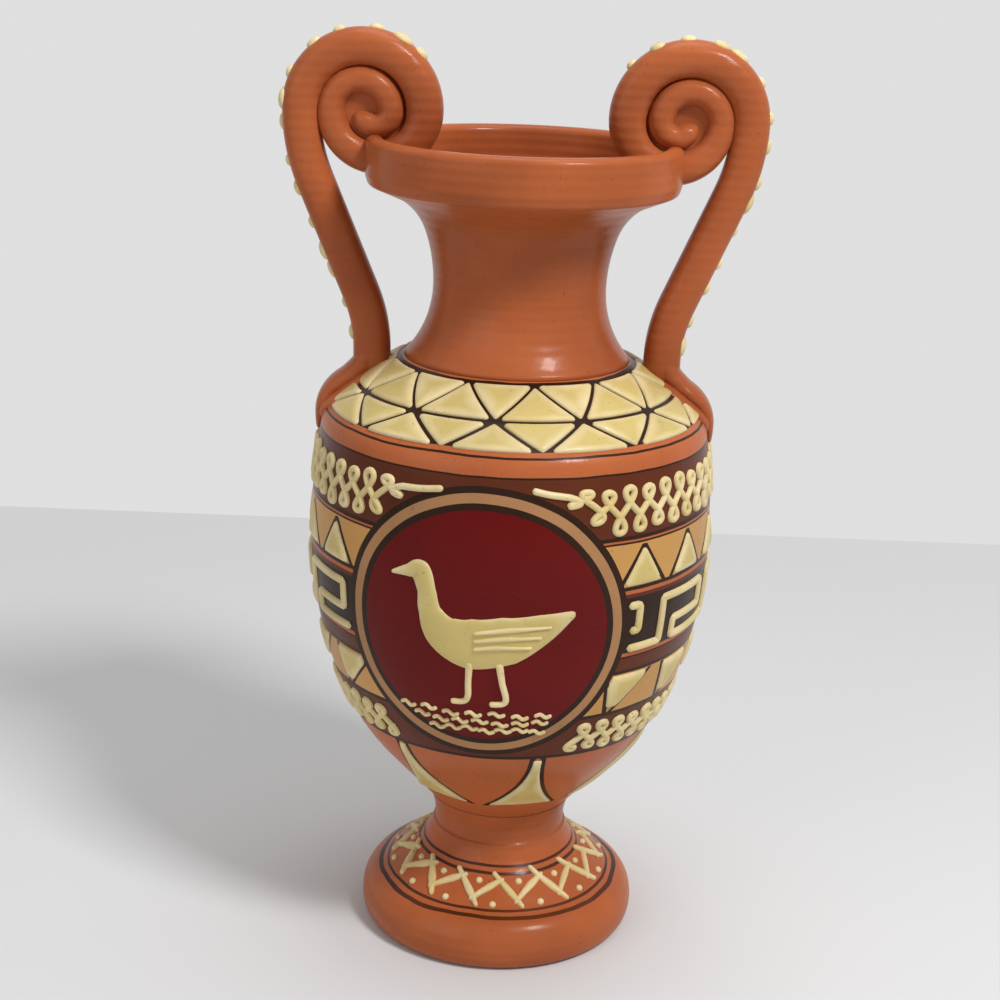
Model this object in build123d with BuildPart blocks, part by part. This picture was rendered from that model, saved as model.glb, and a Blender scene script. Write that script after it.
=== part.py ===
from build123d import *
from math import acos, asin, atan2, cos, degrees, radians, sin, sqrt, tan
import os

os.makedirs("parts", exist_ok=True)

# Two-handled amphora of terracotta: five clay members, thrown or rolled and luted together, with
# raised slip on them. Millimetres and degrees, +Z up. The origin is the centre of the ring that
# it stands on, the handles lie in the XZ plane and the front faces -Y.

# Film of slip between two members, and between a member and the slip raised on it
SEAT_GAP = 0.1

# Foot: a bevelled toe, a sloping top and a waisted stem, hollow below
FOOT_BASE_RADIUS = 44.0
FOOT_RADIUS = 46.8
TOE_BEVEL = 4.0
TOE_EDGE = 9.0
TOE_HEIGHT = 15.0
TOE_TOP_RADIUS = 43.2
LEDGE_RADIUS = 39.3
LEDGE_RISE = 2.0
FOOT_SLOPE = 35.0
STEM_RADIUS = 22.2
STEM_SWEEP = 10.0
STEM_RISE = 10.8
FOOT_WALL = 7.0
FOOT_RING = 7.0
RECESS_DRAFT = 2.0
STEM_PLUG = 12.0

# Body: a cone, two arcs up to the widest circle, one above it, a rounded edge and a shoulder
BELLY_RADIUS = 65.6
CONE_RISE = 19.0
TUCK_TURN = 42.0
TUCK_RADIUS = 79.0
LOWER_TURN = 22.0
LOWER_WALL_RADIUS = 138.0
UPPER_RISE = 38.0
UPPER_WALL_RADIUS = 235.0
EDGE_INNER_RADIUS = 2.0
SHOULDER_TURN = 48.0
SHOULDER_RADIUS = 123.0
BODY_WALL = 5.0
FLOOR_THICKNESS = 8.0

# Neck and mouth: a waist, a flared underside, an upright collar and a bevelled lip
NECK_BASE_RADIUS = 36.5
NECK_RADIUS = 27.6
NECK_RISE = 22.9
NECK_SWEEP = 50.0
NECK_TURN = 20.0
FLARE_RADIUS = 19.0
FLARE_TURN = 63.0
UNDERSIDE_LENGTH = 9.4
COLLAR_BEVEL = 2.6
COLLAR_RISE = 9.7
LIP_WIDTH = 6.0
LIP_BEVEL = 1.8
NECK_WALL = 4.5

# Handles: a strap from the shoulder to the lip, coiled into a volute, with a tail down the shoulder
STRAP_WIDTH = 12.0
STRAP_DEPTH = 12.0
STRAP_BEVEL = 2.5
VOLUTE_RADIUS = 25.2
VOLUTE_OUT = 0.9
VOLUTE_RISE = 7.3
COIL_GAP = 1.2
COIL_STEP = 1.0
EYE_RADIUS = 3.0
UPPER_BEND = 58.0
LOWER_BEND = 47.0
HEEL_RADIUS = 46.8
HEEL_RISE = 6.5
TAIL_THICKNESS = 3.2
TAIL_TIP = 1.0
TAIL_DROP = 6.0

# Raised slip on the body and the foot
SLIP_HEIGHT = 1.1

# Dots on the handles
DOT_COUNT = 15
DOT_SIDES = 6
DOT_RADIUS = 2.6
DOT_HEIGHT = 1.6
DOT_TAPER_ANGLE = 40.0
DOT_START_ANGLE = 150.0

# Panes on the shoulder
PANE_COUNT = 12
PANE_TURN = 8.5
PANE_INNER_RADIUS = 38.0
PANE_MIDDLE_RADIUS = 51.0
PANE_OUTER_RADIUS = 60.0
PANE_LINE = 1.8

# Medallion on the front: its turn from the front and the drop of its centre below the belly circle
MEDALLION_TURN = -7.0
MEDALLION_DROP = 13.0
MEDALLION_RADIUS = 47.0
BIRD_LEG = 2.2

# Ripples under the bird
RIPPLE_COUNT = 6
RIPPLE_DROP = 31.0
RIPPLE_LENGTH = 5.4
RIPPLE_PITCH = 7.4
RIPPLE_RISE = 1.6
RIPPLE_STROKE = 1.5

# Trails of loops above and below the bands
LOOP_STROKE = 2.2
LOOP_HEAD = 3.8
UPPER_LOOP_SPREAD = 6.6
UPPER_LOOP_COUNT = 47
UPPER_LOOP_TURN = 27.6
UPPER_LOOP_RISE = 17.5
UPPER_LOOP_HEIGHT = 13.6
LOWER_LOOP_SPREAD = 5.2
LOWER_LOOP_COUNT = 45
LOWER_LOOP_TURN = 33.6
LOWER_LOOP_DROP = 57.5
LOWER_LOOP_HEIGHT = 11.0

# Triangles round the belly
TRIANGLE_COUNT = 19
TRIANGLE_TURN = 39.0
TRIANGLE_WIDTH = 17.0
TRIANGLE_HEIGHT = 12.5
TRIANGLE_RISE = 0.6

# Keys of the meander
KEY_COUNT = 12
KEY_TURN = 58.0
KEY_RISE = -6.0
KEY_HEIGHT = 14.5
KEY_WIDTH = 24.0
KEY_DROP = 8.5
KEY_INSET = 6.5
KEY_HOOK = 17.0
KEY_BAR = 17.0
KEY_STROKE = 2.6

# Panes of the lower band
LOWER_PANE_COUNT = 16
LOWER_PANE_TURN = 38.75
LOWER_PANE_DROP = 30.0
LOWER_PANE_WIDTH = 17.0
LOWER_PANE_LEAN = 2.2
LOWER_PANE_FOOT = 3.3
LOWER_PANE_HEIGHT = 11.5

# Flares round the base of the body
FLARE_COUNT = 7
BASE_FLARE_TURN = 13.0
FLARE_FOOT_RISE = 8.5
FLARE_HEIGHT = 25.0
FLARE_TIP = 2.6
FLARE_SPREAD = 21.0

# Sprig and dots on the foot
SPRIG_COUNT = 9
SPRIG_TURN = 2.0
SPRIG_INNER_RADIUS = 29.0
SPRIG_OUTER_RADIUS = 34.0
SPRIG_BEND_TURN = 16.0
SPRIG_SPUR = 2.6
SPRIG_STROKE = 2.2
FOOT_DOT_RADIUS = 1.2
FOOT_DOT_SIDES = 6
INNER_DOT_RADIUS = 28.5
OUTER_DOT_RADIUS = 36.0


def polar(radius, angle):
    """Point of a section at a radius and an angle from its horizontal axis."""
    return Vector(radius * cos(radians(angle)), radius * sin(radians(angle)))


def arc_ends(point, turns):
    """Points where a run of tangent arcs begins, changes radius and ends.

    A turn is (radius, first, last). The angles are those of the outward normal, and a hollow
    curve has a negative radius.
    """
    ends = [point]
    for radius, first, last in turns:
        ends.append(ends[-1] - polar(radius, first) + polar(radius, last))
    return ends


def draw_arcs(point, turns, outset=0.0):
    """Draw a run of tangent arcs, moved outward along its normals by outset."""
    for start, (radius, first, last) in zip(arc_ends(point, turns), turns):
        moved = radius + outset
        flip = 0 if moved > 0 else 180
        CenterArc(start - polar(radius, first), abs(moved), first + flip, last - first)


# Places on the foot, from the table up
SWEEP_TURN = 90 - FOOT_SLOPE
SWEEP_ARC = [(-STEM_SWEEP, 0, SWEEP_TURN)]
SWEEP_FOOT_RADIUS = STEM_RADIUS + STEM_SWEEP * (1 - cos(radians(SWEEP_TURN)))
LEDGE = Vector(LEDGE_RADIUS, TOE_HEIGHT + LEDGE_RISE)
SWEEP_FOOT = LEDGE + polar((LEDGE_RADIUS - SWEEP_FOOT_RADIUS) / cos(radians(FOOT_SLOPE)), 180 - FOOT_SLOPE)
STEM_WAIST = Vector(STEM_RADIUS, SWEEP_FOOT.Y + STEM_SWEEP * sin(radians(SWEEP_TURN)))
STEM_TOP = STEM_WAIST.Y + STEM_RISE

# Places on the body, from the stem up to the neck
TUCK_RISE = TUCK_RADIUS * (sin(radians(TUCK_TURN)) - sin(radians(LOWER_TURN)))
LOWER_RISE = LOWER_WALL_RADIUS * sin(radians(LOWER_TURN))
BELLY = Vector(BELLY_RADIUS, STEM_TOP + CONE_RISE + TUCK_RISE + LOWER_RISE)
LOWER_ARCS = [(LOWER_WALL_RADIUS, 0, -LOWER_TURN), (TUCK_RADIUS, -LOWER_TURN, -TUCK_TURN)]
CONE_TOP = arc_ends(BELLY, LOWER_ARCS)[-1]
EDGE_RADIUS = EDGE_INNER_RADIUS + BODY_WALL
UPPER_TURN = degrees(asin(UPPER_RISE / UPPER_WALL_RADIUS))
EDGE_ARCS = [(UPPER_WALL_RADIUS, 0, UPPER_TURN), (EDGE_RADIUS, UPPER_TURN, SHOULDER_TURN)]
EDGE_FOOT, EDGE_TOP = arc_ends(BELLY, EDGE_ARCS)[1:]
SHOULDER_CENTRE = EDGE_TOP - polar(SHOULDER_RADIUS, SHOULDER_TURN)


def cone_point(height, outset=0.0):
    """Point of the body's cone at a height, on the wall moved outward by outset."""
    top = CONE_TOP + polar(outset, -TUCK_TURN)
    return Vector(top.X + (height - top.Y) * tan(radians(TUCK_TURN)), height)


def shoulder_turn(radius, outset=0.0):
    """Angle of the shoulder's normal at a radius from the axis."""
    return degrees(acos((radius - SHOULDER_CENTRE.X) / (SHOULDER_RADIUS + outset)))


def shoulder_point(radius, outset=0.0):
    """Point of the shoulder at a radius from the axis."""
    return SHOULDER_CENTRE + polar(SHOULDER_RADIUS + outset, shoulder_turn(radius, outset))


BASE = cone_point(STEM_TOP)
SEAT = shoulder_point(NECK_BASE_RADIUS)

# Places on the neck and mouth, from the seat on the shoulder up to the lip
NECK_SPREAD = NECK_BASE_RADIUS - NECK_RADIUS
NECK_FOOT_SWEEP = (NECK_RISE**2 + NECK_SPREAD**2) / (2 * NECK_SPREAD)
NECK_WAIST = Vector(NECK_RADIUS, SEAT.Y + NECK_RISE)
NECK_ARCS = [(-NECK_SWEEP, 0, -NECK_TURN), (-FLARE_RADIUS, -NECK_TURN, -FLARE_TURN)]
FLARE_FOOT, FLARE_END = arc_ends(NECK_WAIST, NECK_ARCS)[1:]
COLLAR_FOOT = FLARE_END + polar(UNDERSIDE_LENGTH, 90 - FLARE_TURN)
MOUTH_RADIUS = COLLAR_FOOT.X + COLLAR_BEVEL * tan(radians(FLARE_TURN / 2))
LIP_EDGE = Vector(MOUTH_RADIUS, COLLAR_FOOT.Y + COLLAR_BEVEL + COLLAR_RISE)
LIP_HEIGHT = LIP_EDGE.Y + LIP_BEVEL


def neck_foot(inset):
    """Arc of the neck from its waist to its seat, moved inward by inset."""
    return [(-NECK_FOOT_SWEEP, 0, degrees(asin(NECK_RISE / (NECK_FOOT_SWEEP + inset))))]


def neck_seat_radius(inset):
    """Radius of the neck's wall at its seat, moved inward by inset."""
    sweep = NECK_FOOT_SWEEP + inset
    return NECK_RADIUS + NECK_FOOT_SWEEP - sqrt(sweep**2 - NECK_RISE**2)


NECK_BORE_RADIUS = neck_seat_radius(NECK_WALL)


def draw_body_wall(outset, foot_height, top_radius):
    """Draw the body's wall from a height on its cone to a radius on its shoulder."""
    Line(cone_point(foot_height, outset), CONE_TOP + polar(outset, -TUCK_TURN))
    draw_arcs(BELLY, LOWER_ARCS, outset)
    shoulder = (SHOULDER_RADIUS, SHOULDER_TURN, shoulder_turn(top_radius, outset))
    draw_arcs(BELLY, EDGE_ARCS + [shoulder], outset)


def draw_neck(grow=0.0):
    """Draw the closed section of the neck and mouth, its wall thickened on both sides by grow."""
    inset = NECK_WALL + grow
    outer = MOUTH_RADIUS + grow
    bore = MOUTH_RADIUS - LIP_WIDTH - grow
    dish = FLARE_END - polar(inset, -FLARE_TURN)
    Line((neck_seat_radius(inset), SEAT.Y), (neck_seat_radius(-grow), SEAT.Y))
    draw_arcs(NECK_WAIST, neck_foot(-grow), grow)
    draw_arcs(NECK_WAIST, NECK_ARCS, grow)
    Polyline(
        FLARE_END + polar(grow, -FLARE_TURN),
        COLLAR_FOOT + polar(grow, -FLARE_TURN),
        (outer, COLLAR_FOOT.Y + COLLAR_BEVEL),
        (outer, LIP_EDGE.Y),
        (outer - LIP_BEVEL, LIP_HEIGHT + grow),
        (bore + LIP_BEVEL, LIP_HEIGHT + grow),
        (bore, LIP_EDGE.Y),
        (bore, dish.Y + (bore - dish.X) * tan(radians(90 - FLARE_TURN))),
        dish,
        FLARE_FOOT - polar(inset, -NECK_TURN),
        NECK_WAIST - (inset, 0),
        (neck_seat_radius(inset), SEAT.Y),
    )


# The foot, thrown hollow
RING_INNER_RADIUS = FOOT_BASE_RADIUS - FOOT_RING
RECESS_EDGE = LEDGE.Y - FOOT_WALL

with BuildPart() as foot:
    with BuildSketch(Plane.XZ):
        with BuildLine():
            Polyline(
                (FOOT_BASE_RADIUS, 0),
                (FOOT_RADIUS, TOE_BEVEL),
                (FOOT_RADIUS, TOE_EDGE),
                (TOE_TOP_RADIUS, TOE_HEIGHT),
                LEDGE,
                SWEEP_FOOT,
            )
            draw_arcs(STEM_WAIST, SWEEP_ARC)
            Spline(STEM_WAIST, BASE, tangents=[(0, 1), polar(1, 90 - TUCK_TURN)])
            Polyline(BASE, (0, STEM_TOP), (0, 0), (FOOT_BASE_RADIUS, 0))
        make_face()
    revolve(axis=Axis.Z)
    with BuildSketch(Plane.XZ):
        with BuildLine():
            Polyline(
                (0, 0),
                (RING_INNER_RADIUS, 0),
                (RING_INNER_RADIUS - RECESS_DRAFT, RECESS_EDGE),
                (STEM_RADIUS - FOOT_WALL, STEM_TOP - STEM_PLUG),
                (0, STEM_TOP - STEM_PLUG),
                close=True,
            )
        make_face()
    revolve(axis=Axis.Z, mode=Mode.SUBTRACT)
foot.part.label = "foot"
export_step(foot.part, "parts/foot.step")

# The body, thrown as one hollow wall with a floor
FLOOR_HEIGHT = STEM_TOP + FLOOR_THICKNESS

with BuildPart() as body:
    with BuildSketch(Plane.XZ):
        with BuildLine():
            draw_body_wall(0, STEM_TOP, NECK_BASE_RADIUS)
            Polyline(SEAT, (NECK_BORE_RADIUS, SEAT.Y), shoulder_point(NECK_BORE_RADIUS, -BODY_WALL))
            draw_body_wall(-BODY_WALL, FLOOR_HEIGHT, NECK_BORE_RADIUS)
            Polyline(cone_point(FLOOR_HEIGHT, -BODY_WALL), (0, FLOOR_HEIGHT), (0, STEM_TOP), BASE)
        make_face()
    revolve(axis=Axis.Z)
body.part.label = "body"
export_step(body.part, "parts/body.step")

# The neck with its mouth, thrown in one and set on the shoulder
with BuildPart() as neck:
    with BuildSketch(Plane.XZ):
        with BuildLine():
            draw_neck()
        make_face()
    revolve(axis=Axis.Z)
neck.part.label = "neck"
export_step(neck.part, "parts/neck.step")

# Space taken by the body and the neck, which the handles and the slip are seated against
with BuildPart() as body_space:
    with BuildSketch(Plane.XZ):
        with BuildLine():
            draw_body_wall(SEAT_GAP, STEM_TOP, NECK_BASE_RADIUS)
            top = shoulder_point(NECK_BASE_RADIUS, SEAT_GAP)
            Polyline(top, (0, top.Y), (0, STEM_TOP), cone_point(STEM_TOP, SEAT_GAP))
        make_face()
    revolve(axis=Axis.Z)

with BuildPart() as neck_space:
    with BuildSketch(Plane.XZ):
        with BuildLine():
            draw_neck(SEAT_GAP)
        make_face()
    revolve(axis=Axis.Z)

# Places on the right handle: the volute's centre, the strap's two ends and its lean between them
COIL_RADIUS = VOLUTE_RADIUS - STRAP_WIDTH - COIL_GAP
VOLUTE = Vector(MOUTH_RADIUS + VOLUTE_OUT, LIP_HEIGHT + VOLUTE_RISE)
STRAP_TOP = VOLUTE + (VOLUTE_RADIUS - STRAP_WIDTH / 2, 0)
STRAP_FOOT = shoulder_point(HEEL_RADIUS) + (0, HEEL_RISE)
BENDS = UPPER_BEND + LOWER_BEND
STRAP_REACH = STRAP_TOP.X - STRAP_FOOT.X
STRAP_FALL = STRAP_TOP.Y - STRAP_FOOT.Y
STRAP_RUN = sqrt(STRAP_FALL**2 - 2 * BENDS * STRAP_REACH + STRAP_REACH**2)
STRAP_LEAN = degrees(atan2(STRAP_REACH - BENDS, STRAP_FALL) + atan2(BENDS, STRAP_RUN))


def half_turn(right, left, lower=False):
    """Draw half a turn of the volute between two distances from its centre."""
    middle = VOLUTE + ((right - left) / 2, 0)
    return CenterArc(middle, (right + left) / 2, 180 if lower else 0, 180)


def strap_edge(side):
    """Draw one edge of the strap, from the volute down: side is 1 for outer and -1 for inner."""
    half = side * STRAP_WIDTH / 2
    upper = JernArc(STRAP_TOP + (half, 0), (0, -1), UPPER_BEND + half, -STRAP_LEAN)
    middle = PolarLine(upper @ 1, STRAP_RUN, direction=upper % 1)
    return JernArc(middle @ 1, middle % 1, LOWER_BEND - half, STRAP_LEAN)


TAIL_HEIGHT = EDGE_FOOT.Y - TAIL_DROP
TAIL_TURN = degrees(asin((TAIL_HEIGHT - BELLY.Y) / UPPER_WALL_RADIUS))
TAIL_END = BELLY - (UPPER_WALL_RADIUS, 0) + polar(UPPER_WALL_RADIUS + TAIL_TIP, TAIL_TURN)

with BuildSketch(Plane.XZ) as coil_slit:
    with BuildLine():
        half_turn(COIL_RADIUS + COIL_GAP / 2, COIL_RADIUS - COIL_STEP)
        half_turn(EYE_RADIUS, COIL_RADIUS - COIL_STEP, lower=True)
    trace(line_width=COIL_GAP)

with BuildPart() as handle_right:
    with BuildSketch(Plane.XZ):
        with BuildLine():
            outer = strap_edge(1)
            Spline(
                outer @ 1,
                EDGE_TOP + polar(TAIL_THICKNESS, SHOULDER_TURN),
                TAIL_END,
                tangents=[(0, -1), polar(1, TAIL_TURN - 90)],
            )
            inner_foot = strap_edge(-1) @ 1
            Polyline(TAIL_END, (inner_foot.X, TAIL_END.Y), inner_foot)
            half_turn(VOLUTE_RADIUS, VOLUTE_RADIUS)
            half_turn(COIL_RADIUS, VOLUTE_RADIUS, lower=True)
            Line(VOLUTE + (COIL_RADIUS, 0), VOLUTE + (COIL_RADIUS + COIL_GAP, 0))
        make_face()
        add(coil_slit.sketch, mode=Mode.SUBTRACT)
    extrude(amount=STRAP_DEPTH / 2, both=True)
    flats = handle_right.faces().filter_by(Axis.Y).edges()
    chamfer(flats - flats.filter_by(Axis.X) - flats.filter_by(Axis.Z), STRAP_BEVEL)
    with BuildSketch(Plane.XZ):
        add(coil_slit.sketch)
    extrude(amount=STRAP_DEPTH / 2 - STRAP_BEVEL, both=True)
    add(body_space.part, mode=Mode.SUBTRACT)
    add(neck_space.part, mode=Mode.SUBTRACT)
handle_right.part.label = "handle_right"
export_step(handle_right.part, "parts/handle_right.step")

with BuildPart() as handle_left:
    add(mirror(handle_right.part, about=Plane.YZ, mode=Mode.PRIVATE))
handle_left.part.label = "handle_left"
export_step(handle_left.part, "parts/handle_left.step")

# Dots of slip along the outer edge of each handle, from the volute down to the heel
with BuildLine() as dot_line:
    CenterArc(VOLUTE, VOLUTE_RADIUS, DOT_START_ANGLE, -DOT_START_ANGLE)
    strap_edge(1)


def dot_plane(place):
    """Plane that lies on the handle's outer edge at a place from 0 to 1 along it."""
    point = dot_line.wire() @ place
    along = dot_line.wire() % place
    outward = Vector(-along.Y, along.X)
    seat = point + outward * SEAT_GAP
    return Plane((seat.X, 0, seat.Y), x_dir=(0, 1, 0), z_dir=(outward.X, 0, outward.Y))


with BuildPart() as handle_dots_right:
    for number in range(DOT_COUNT):
        with BuildSketch(dot_plane((number + 0.5) / DOT_COUNT)):
            RegularPolygon(DOT_RADIUS, DOT_SIDES)
        extrude(amount=DOT_HEIGHT, taper=DOT_TAPER_ANGLE)
handle_dots_right.part.label = "handle_dots_right"
export_step(handle_dots_right.part, "parts/handle_dots_right.step")

with BuildPart() as handle_dots_left:
    add(mirror(handle_dots_right.part, about=Plane.YZ, mode=Mode.PRIVATE))
handle_dots_left.part.label = "handle_dots_left"
export_step(handle_dots_left.part, "parts/handle_dots_left.step")

# Layer just outside the body's wall, and just above the foot's top, that the raised slip fills
SLIP_TOP = SEAT_GAP + SLIP_HEIGHT

with BuildPart() as body_slip:
    with BuildSketch(Plane.XZ):
        with BuildLine():
            for outset in (SEAT_GAP, SLIP_TOP):
                draw_body_wall(outset, STEM_TOP, NECK_BASE_RADIUS)
            Line(cone_point(STEM_TOP, SEAT_GAP), cone_point(STEM_TOP, SLIP_TOP))
            Line(shoulder_point(NECK_BASE_RADIUS, SEAT_GAP), shoulder_point(NECK_BASE_RADIUS, SLIP_TOP))
        make_face()
    revolve(axis=Axis.Z)

with BuildPart() as foot_slip:
    with BuildSketch(Plane.XZ):
        with BuildLine():
            for outset in (SEAT_GAP, SLIP_TOP):
                Line(LEDGE + polar(outset, SWEEP_TURN), SWEEP_FOOT + polar(outset, SWEEP_TURN))
                draw_arcs(STEM_WAIST, SWEEP_ARC, outset)
            Line(LEDGE + polar(SEAT_GAP, SWEEP_TURN), LEDGE + polar(SLIP_TOP, SWEEP_TURN))
            Line(STEM_WAIST + (SEAT_GAP, 0), STEM_WAIST + (SLIP_TOP, 0))
        make_face()
    revolve(axis=Axis.Z)

# Panes on the shoulder: two rows of triangles that meet at three rings of nodes
PANE_PITCH = 360 / PANE_COUNT


def ring_point(radius, turn):
    """Point in plan at a radius and at a turn from the front."""
    return polar(radius, turn - 90)


def pane_corners(base_radius, base_turn, apex_radius):
    """Corners of one pane: a triangle with its base across a pitch and its apex midway."""
    return (
        ring_point(base_radius, base_turn - PANE_PITCH / 2),
        ring_point(base_radius, base_turn + PANE_PITCH / 2),
        ring_point(apex_radius, base_turn),
    )


PANES = (
    (PANE_MIDDLE_RADIUS, 0, PANE_INNER_RADIUS),
    (PANE_MIDDLE_RADIUS, 0, PANE_OUTER_RADIUS),
    (PANE_INNER_RADIUS, PANE_PITCH / 2, PANE_MIDDLE_RADIUS),
    (PANE_OUTER_RADIUS, PANE_PITCH / 2, PANE_MIDDLE_RADIUS),
)

with BuildPart() as pane_group:
    for pane in PANES:
        with BuildSketch(Plane.XY.offset(BELLY.Y)):
            Polygon(*pane_corners(*pane), align=None)
            offset(amount=-PANE_LINE / 2, kind=Kind.INTERSECTION, mode=Mode.REPLACE)
        extrude(amount=SEAT.Y + SLIP_TOP - BELLY.Y)
    add(body_slip.part, mode=Mode.INTERSECT)

with BuildPart() as shoulder_panes:
    with PolarLocations(0, PANE_COUNT, PANE_TURN):
        add(pane_group.part)
    with Locations((0, 0, SEAT.Y)):
        Box(2 * BELLY_RADIUS, STRAP_DEPTH + 2 * PANE_LINE, SEAT.Y, mode=Mode.SUBTRACT)
shoulder_panes.part.label = "shoulder_panes"
export_step(shoulder_panes.part, "parts/shoulder_panes.step")

# Bands round the belly, broken at the front by the medallion
BAND_REACH = BELLY_RADIUS + SLIP_TOP
TRIANGLE_FOOT = BELLY.Y + TRIANGLE_RISE
LOWER_PANE_TOP = BELLY.Y - LOWER_PANE_DROP
MEDALLION_FALL = degrees(asin(MEDALLION_DROP / LOWER_WALL_RADIUS))
MEDALLION = BELLY - (LOWER_WALL_RADIUS, 0) + polar(LOWER_WALL_RADIUS, -MEDALLION_FALL)

with BuildPart() as medallion_space:
    with Locations((0, -MEDALLION.X, MEDALLION.Y)):
        Sphere(MEDALLION_RADIUS)

with BuildPart() as triangle:
    with BuildSketch(Plane.XZ):
        Polygon(
            (-TRIANGLE_WIDTH / 2, TRIANGLE_FOOT),
            (TRIANGLE_WIDTH / 2, TRIANGLE_FOOT),
            (0, TRIANGLE_FOOT + TRIANGLE_HEIGHT),
            align=None,
        )
    extrude(amount=BAND_REACH)
    add(body_slip.part, mode=Mode.INTERSECT)

with BuildPart() as upper_triangles:
    with PolarLocations(0, TRIANGLE_COUNT, TRIANGLE_TURN):
        add(triangle.part)
    with Locations(Rotation(0, 0, MEDALLION_TURN)):
        add(medallion_space.part, mode=Mode.SUBTRACT)
upper_triangles.part.label = "upper_triangles"
export_step(upper_triangles.part, "parts/upper_triangles.step")

# One key of the meander: the corners of its stroke, from the hook's end back to the bar below
KEY_TOP = BELLY.Y + KEY_RISE
KEY_BOTTOM = KEY_TOP - KEY_HEIGHT
KEY_MIDDLE = KEY_TOP - KEY_DROP
KEY_LEFT = -KEY_WIDTH / 2
KEY_CORNERS = [
    Vector(KEY_LEFT + KEY_HOOK, KEY_BOTTOM),
    Vector(KEY_LEFT + KEY_INSET, KEY_BOTTOM),
    Vector(KEY_LEFT + KEY_INSET, KEY_MIDDLE),
    Vector(-KEY_LEFT, KEY_MIDDLE),
    Vector(-KEY_LEFT, KEY_TOP),
    Vector(KEY_LEFT, KEY_TOP),
    Vector(KEY_LEFT, KEY_BOTTOM),
    Vector(KEY_LEFT - KEY_BAR, KEY_BOTTOM),
]

with BuildPart() as key:
    with BuildSketch(Plane.XZ):
        for start, end in zip(KEY_CORNERS, KEY_CORNERS[1:]):
            with Locations((start + end) / 2):
                Rectangle(abs(end.X - start.X) + KEY_STROKE, abs(end.Y - start.Y) + KEY_STROKE)
    extrude(amount=BAND_REACH)
    add(body_slip.part, mode=Mode.INTERSECT)

with BuildPart() as meander:
    with PolarLocations(0, KEY_COUNT, KEY_TURN):
        add(key.part)
    with Locations(Rotation(0, 0, MEDALLION_TURN)):
        add(medallion_space.part, mode=Mode.SUBTRACT)
meander.part.label = "meander"
export_step(meander.part, "parts/meander.step")

LOWER_PANE_TOE = LOWER_PANE_LEAN - LOWER_PANE_WIDTH / 2

with BuildPart() as lower_pane:
    with BuildSketch(Plane.XZ):
        Polygon(
            (-LOWER_PANE_WIDTH / 2, LOWER_PANE_TOP),
            (LOWER_PANE_WIDTH / 2, LOWER_PANE_TOP),
            (LOWER_PANE_TOE + LOWER_PANE_FOOT, LOWER_PANE_TOP - LOWER_PANE_HEIGHT),
            (LOWER_PANE_TOE, LOWER_PANE_TOP - LOWER_PANE_HEIGHT),
            align=None,
        )
    extrude(amount=BAND_REACH)
    add(body_slip.part, mode=Mode.INTERSECT)

with BuildPart() as lower_panes:
    with PolarLocations(0, LOWER_PANE_COUNT, LOWER_PANE_TURN):
        add(lower_pane.part)
    with Locations(Rotation(0, 0, MEDALLION_TURN)):
        add(medallion_space.part, mode=Mode.SUBTRACT)
lower_panes.part.label = "lower_panes"
export_step(lower_panes.part, "parts/lower_panes.step")

# Trails of loops: one pair of strokes, up and down, for each loop
UPPER_LOOP_FOOT = BELLY.Y + UPPER_LOOP_RISE
LOWER_LOOP_FOOT = BELLY.Y - LOWER_LOOP_DROP


def loop_corners(foot, height, spread):
    """Corners of one pair of strokes that stand apart at the foot and meet in a flat head."""
    outer = spread / 2
    inner = outer - LOOP_STROKE
    head = LOOP_HEAD / 2
    return (
        (-outer, foot),
        (-inner, foot),
        (0, foot + height - LOOP_HEAD),
        (inner, foot),
        (outer, foot),
        (head, foot + height),
        (-head, foot + height),
    )


def trail_turns(count, first):
    """Turns of a trail's loops, which begin and end at a turn from the medallion's middle."""
    pitch = (360 - 2 * first) / (count - 1)
    return [Rotation(0, 0, MEDALLION_TURN + first + number * pitch) for number in range(count)]


with BuildPart() as upper_loop:
    with BuildSketch(Plane.XZ):
        Polygon(*loop_corners(UPPER_LOOP_FOOT, UPPER_LOOP_HEIGHT, UPPER_LOOP_SPREAD), align=None)
    extrude(amount=BAND_REACH)
    add(body_slip.part, mode=Mode.INTERSECT)

with BuildPart() as upper_loops:
    with Locations(*trail_turns(UPPER_LOOP_COUNT, UPPER_LOOP_TURN)):
        add(upper_loop.part)
    with Locations(Rotation(0, 0, MEDALLION_TURN)):
        add(medallion_space.part, mode=Mode.SUBTRACT)
upper_loops.part.label = "upper_loops"
export_step(upper_loops.part, "parts/upper_loops.step")

# Conical layer that touches the body where its two lower arcs meet
TUCK_TOP = arc_ends(BELLY, LOWER_ARCS)[1]

with BuildPart() as tuck_slip:
    with BuildSketch(Plane.XZ):
        with BuildLine():
            Polyline(
                TUCK_TOP + polar(SEAT_GAP, -LOWER_TURN) + polar(LOWER_LOOP_HEIGHT, 90 - LOWER_TURN),
                TUCK_TOP + polar(SEAT_GAP, -LOWER_TURN) - polar(LOWER_LOOP_HEIGHT, 90 - LOWER_TURN),
                TUCK_TOP + polar(SLIP_TOP, -LOWER_TURN) - polar(LOWER_LOOP_HEIGHT, 90 - LOWER_TURN),
                TUCK_TOP + polar(SLIP_TOP, -LOWER_TURN) + polar(LOWER_LOOP_HEIGHT, 90 - LOWER_TURN),
                close=True,
            )
        make_face()
    revolve(axis=Axis.Z)

with BuildPart() as lower_loop:
    with BuildSketch(Plane.XZ):
        Polygon(*loop_corners(LOWER_LOOP_FOOT, LOWER_LOOP_HEIGHT, LOWER_LOOP_SPREAD), align=None)
    extrude(amount=BAND_REACH)
    add(tuck_slip.part, mode=Mode.INTERSECT)

with BuildPart() as lower_loops:
    with Locations(*trail_turns(LOWER_LOOP_COUNT, LOWER_LOOP_TURN)):
        add(lower_loop.part)
lower_loops.part.label = "lower_loops"
export_step(lower_loops.part, "parts/lower_loops.step")

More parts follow.
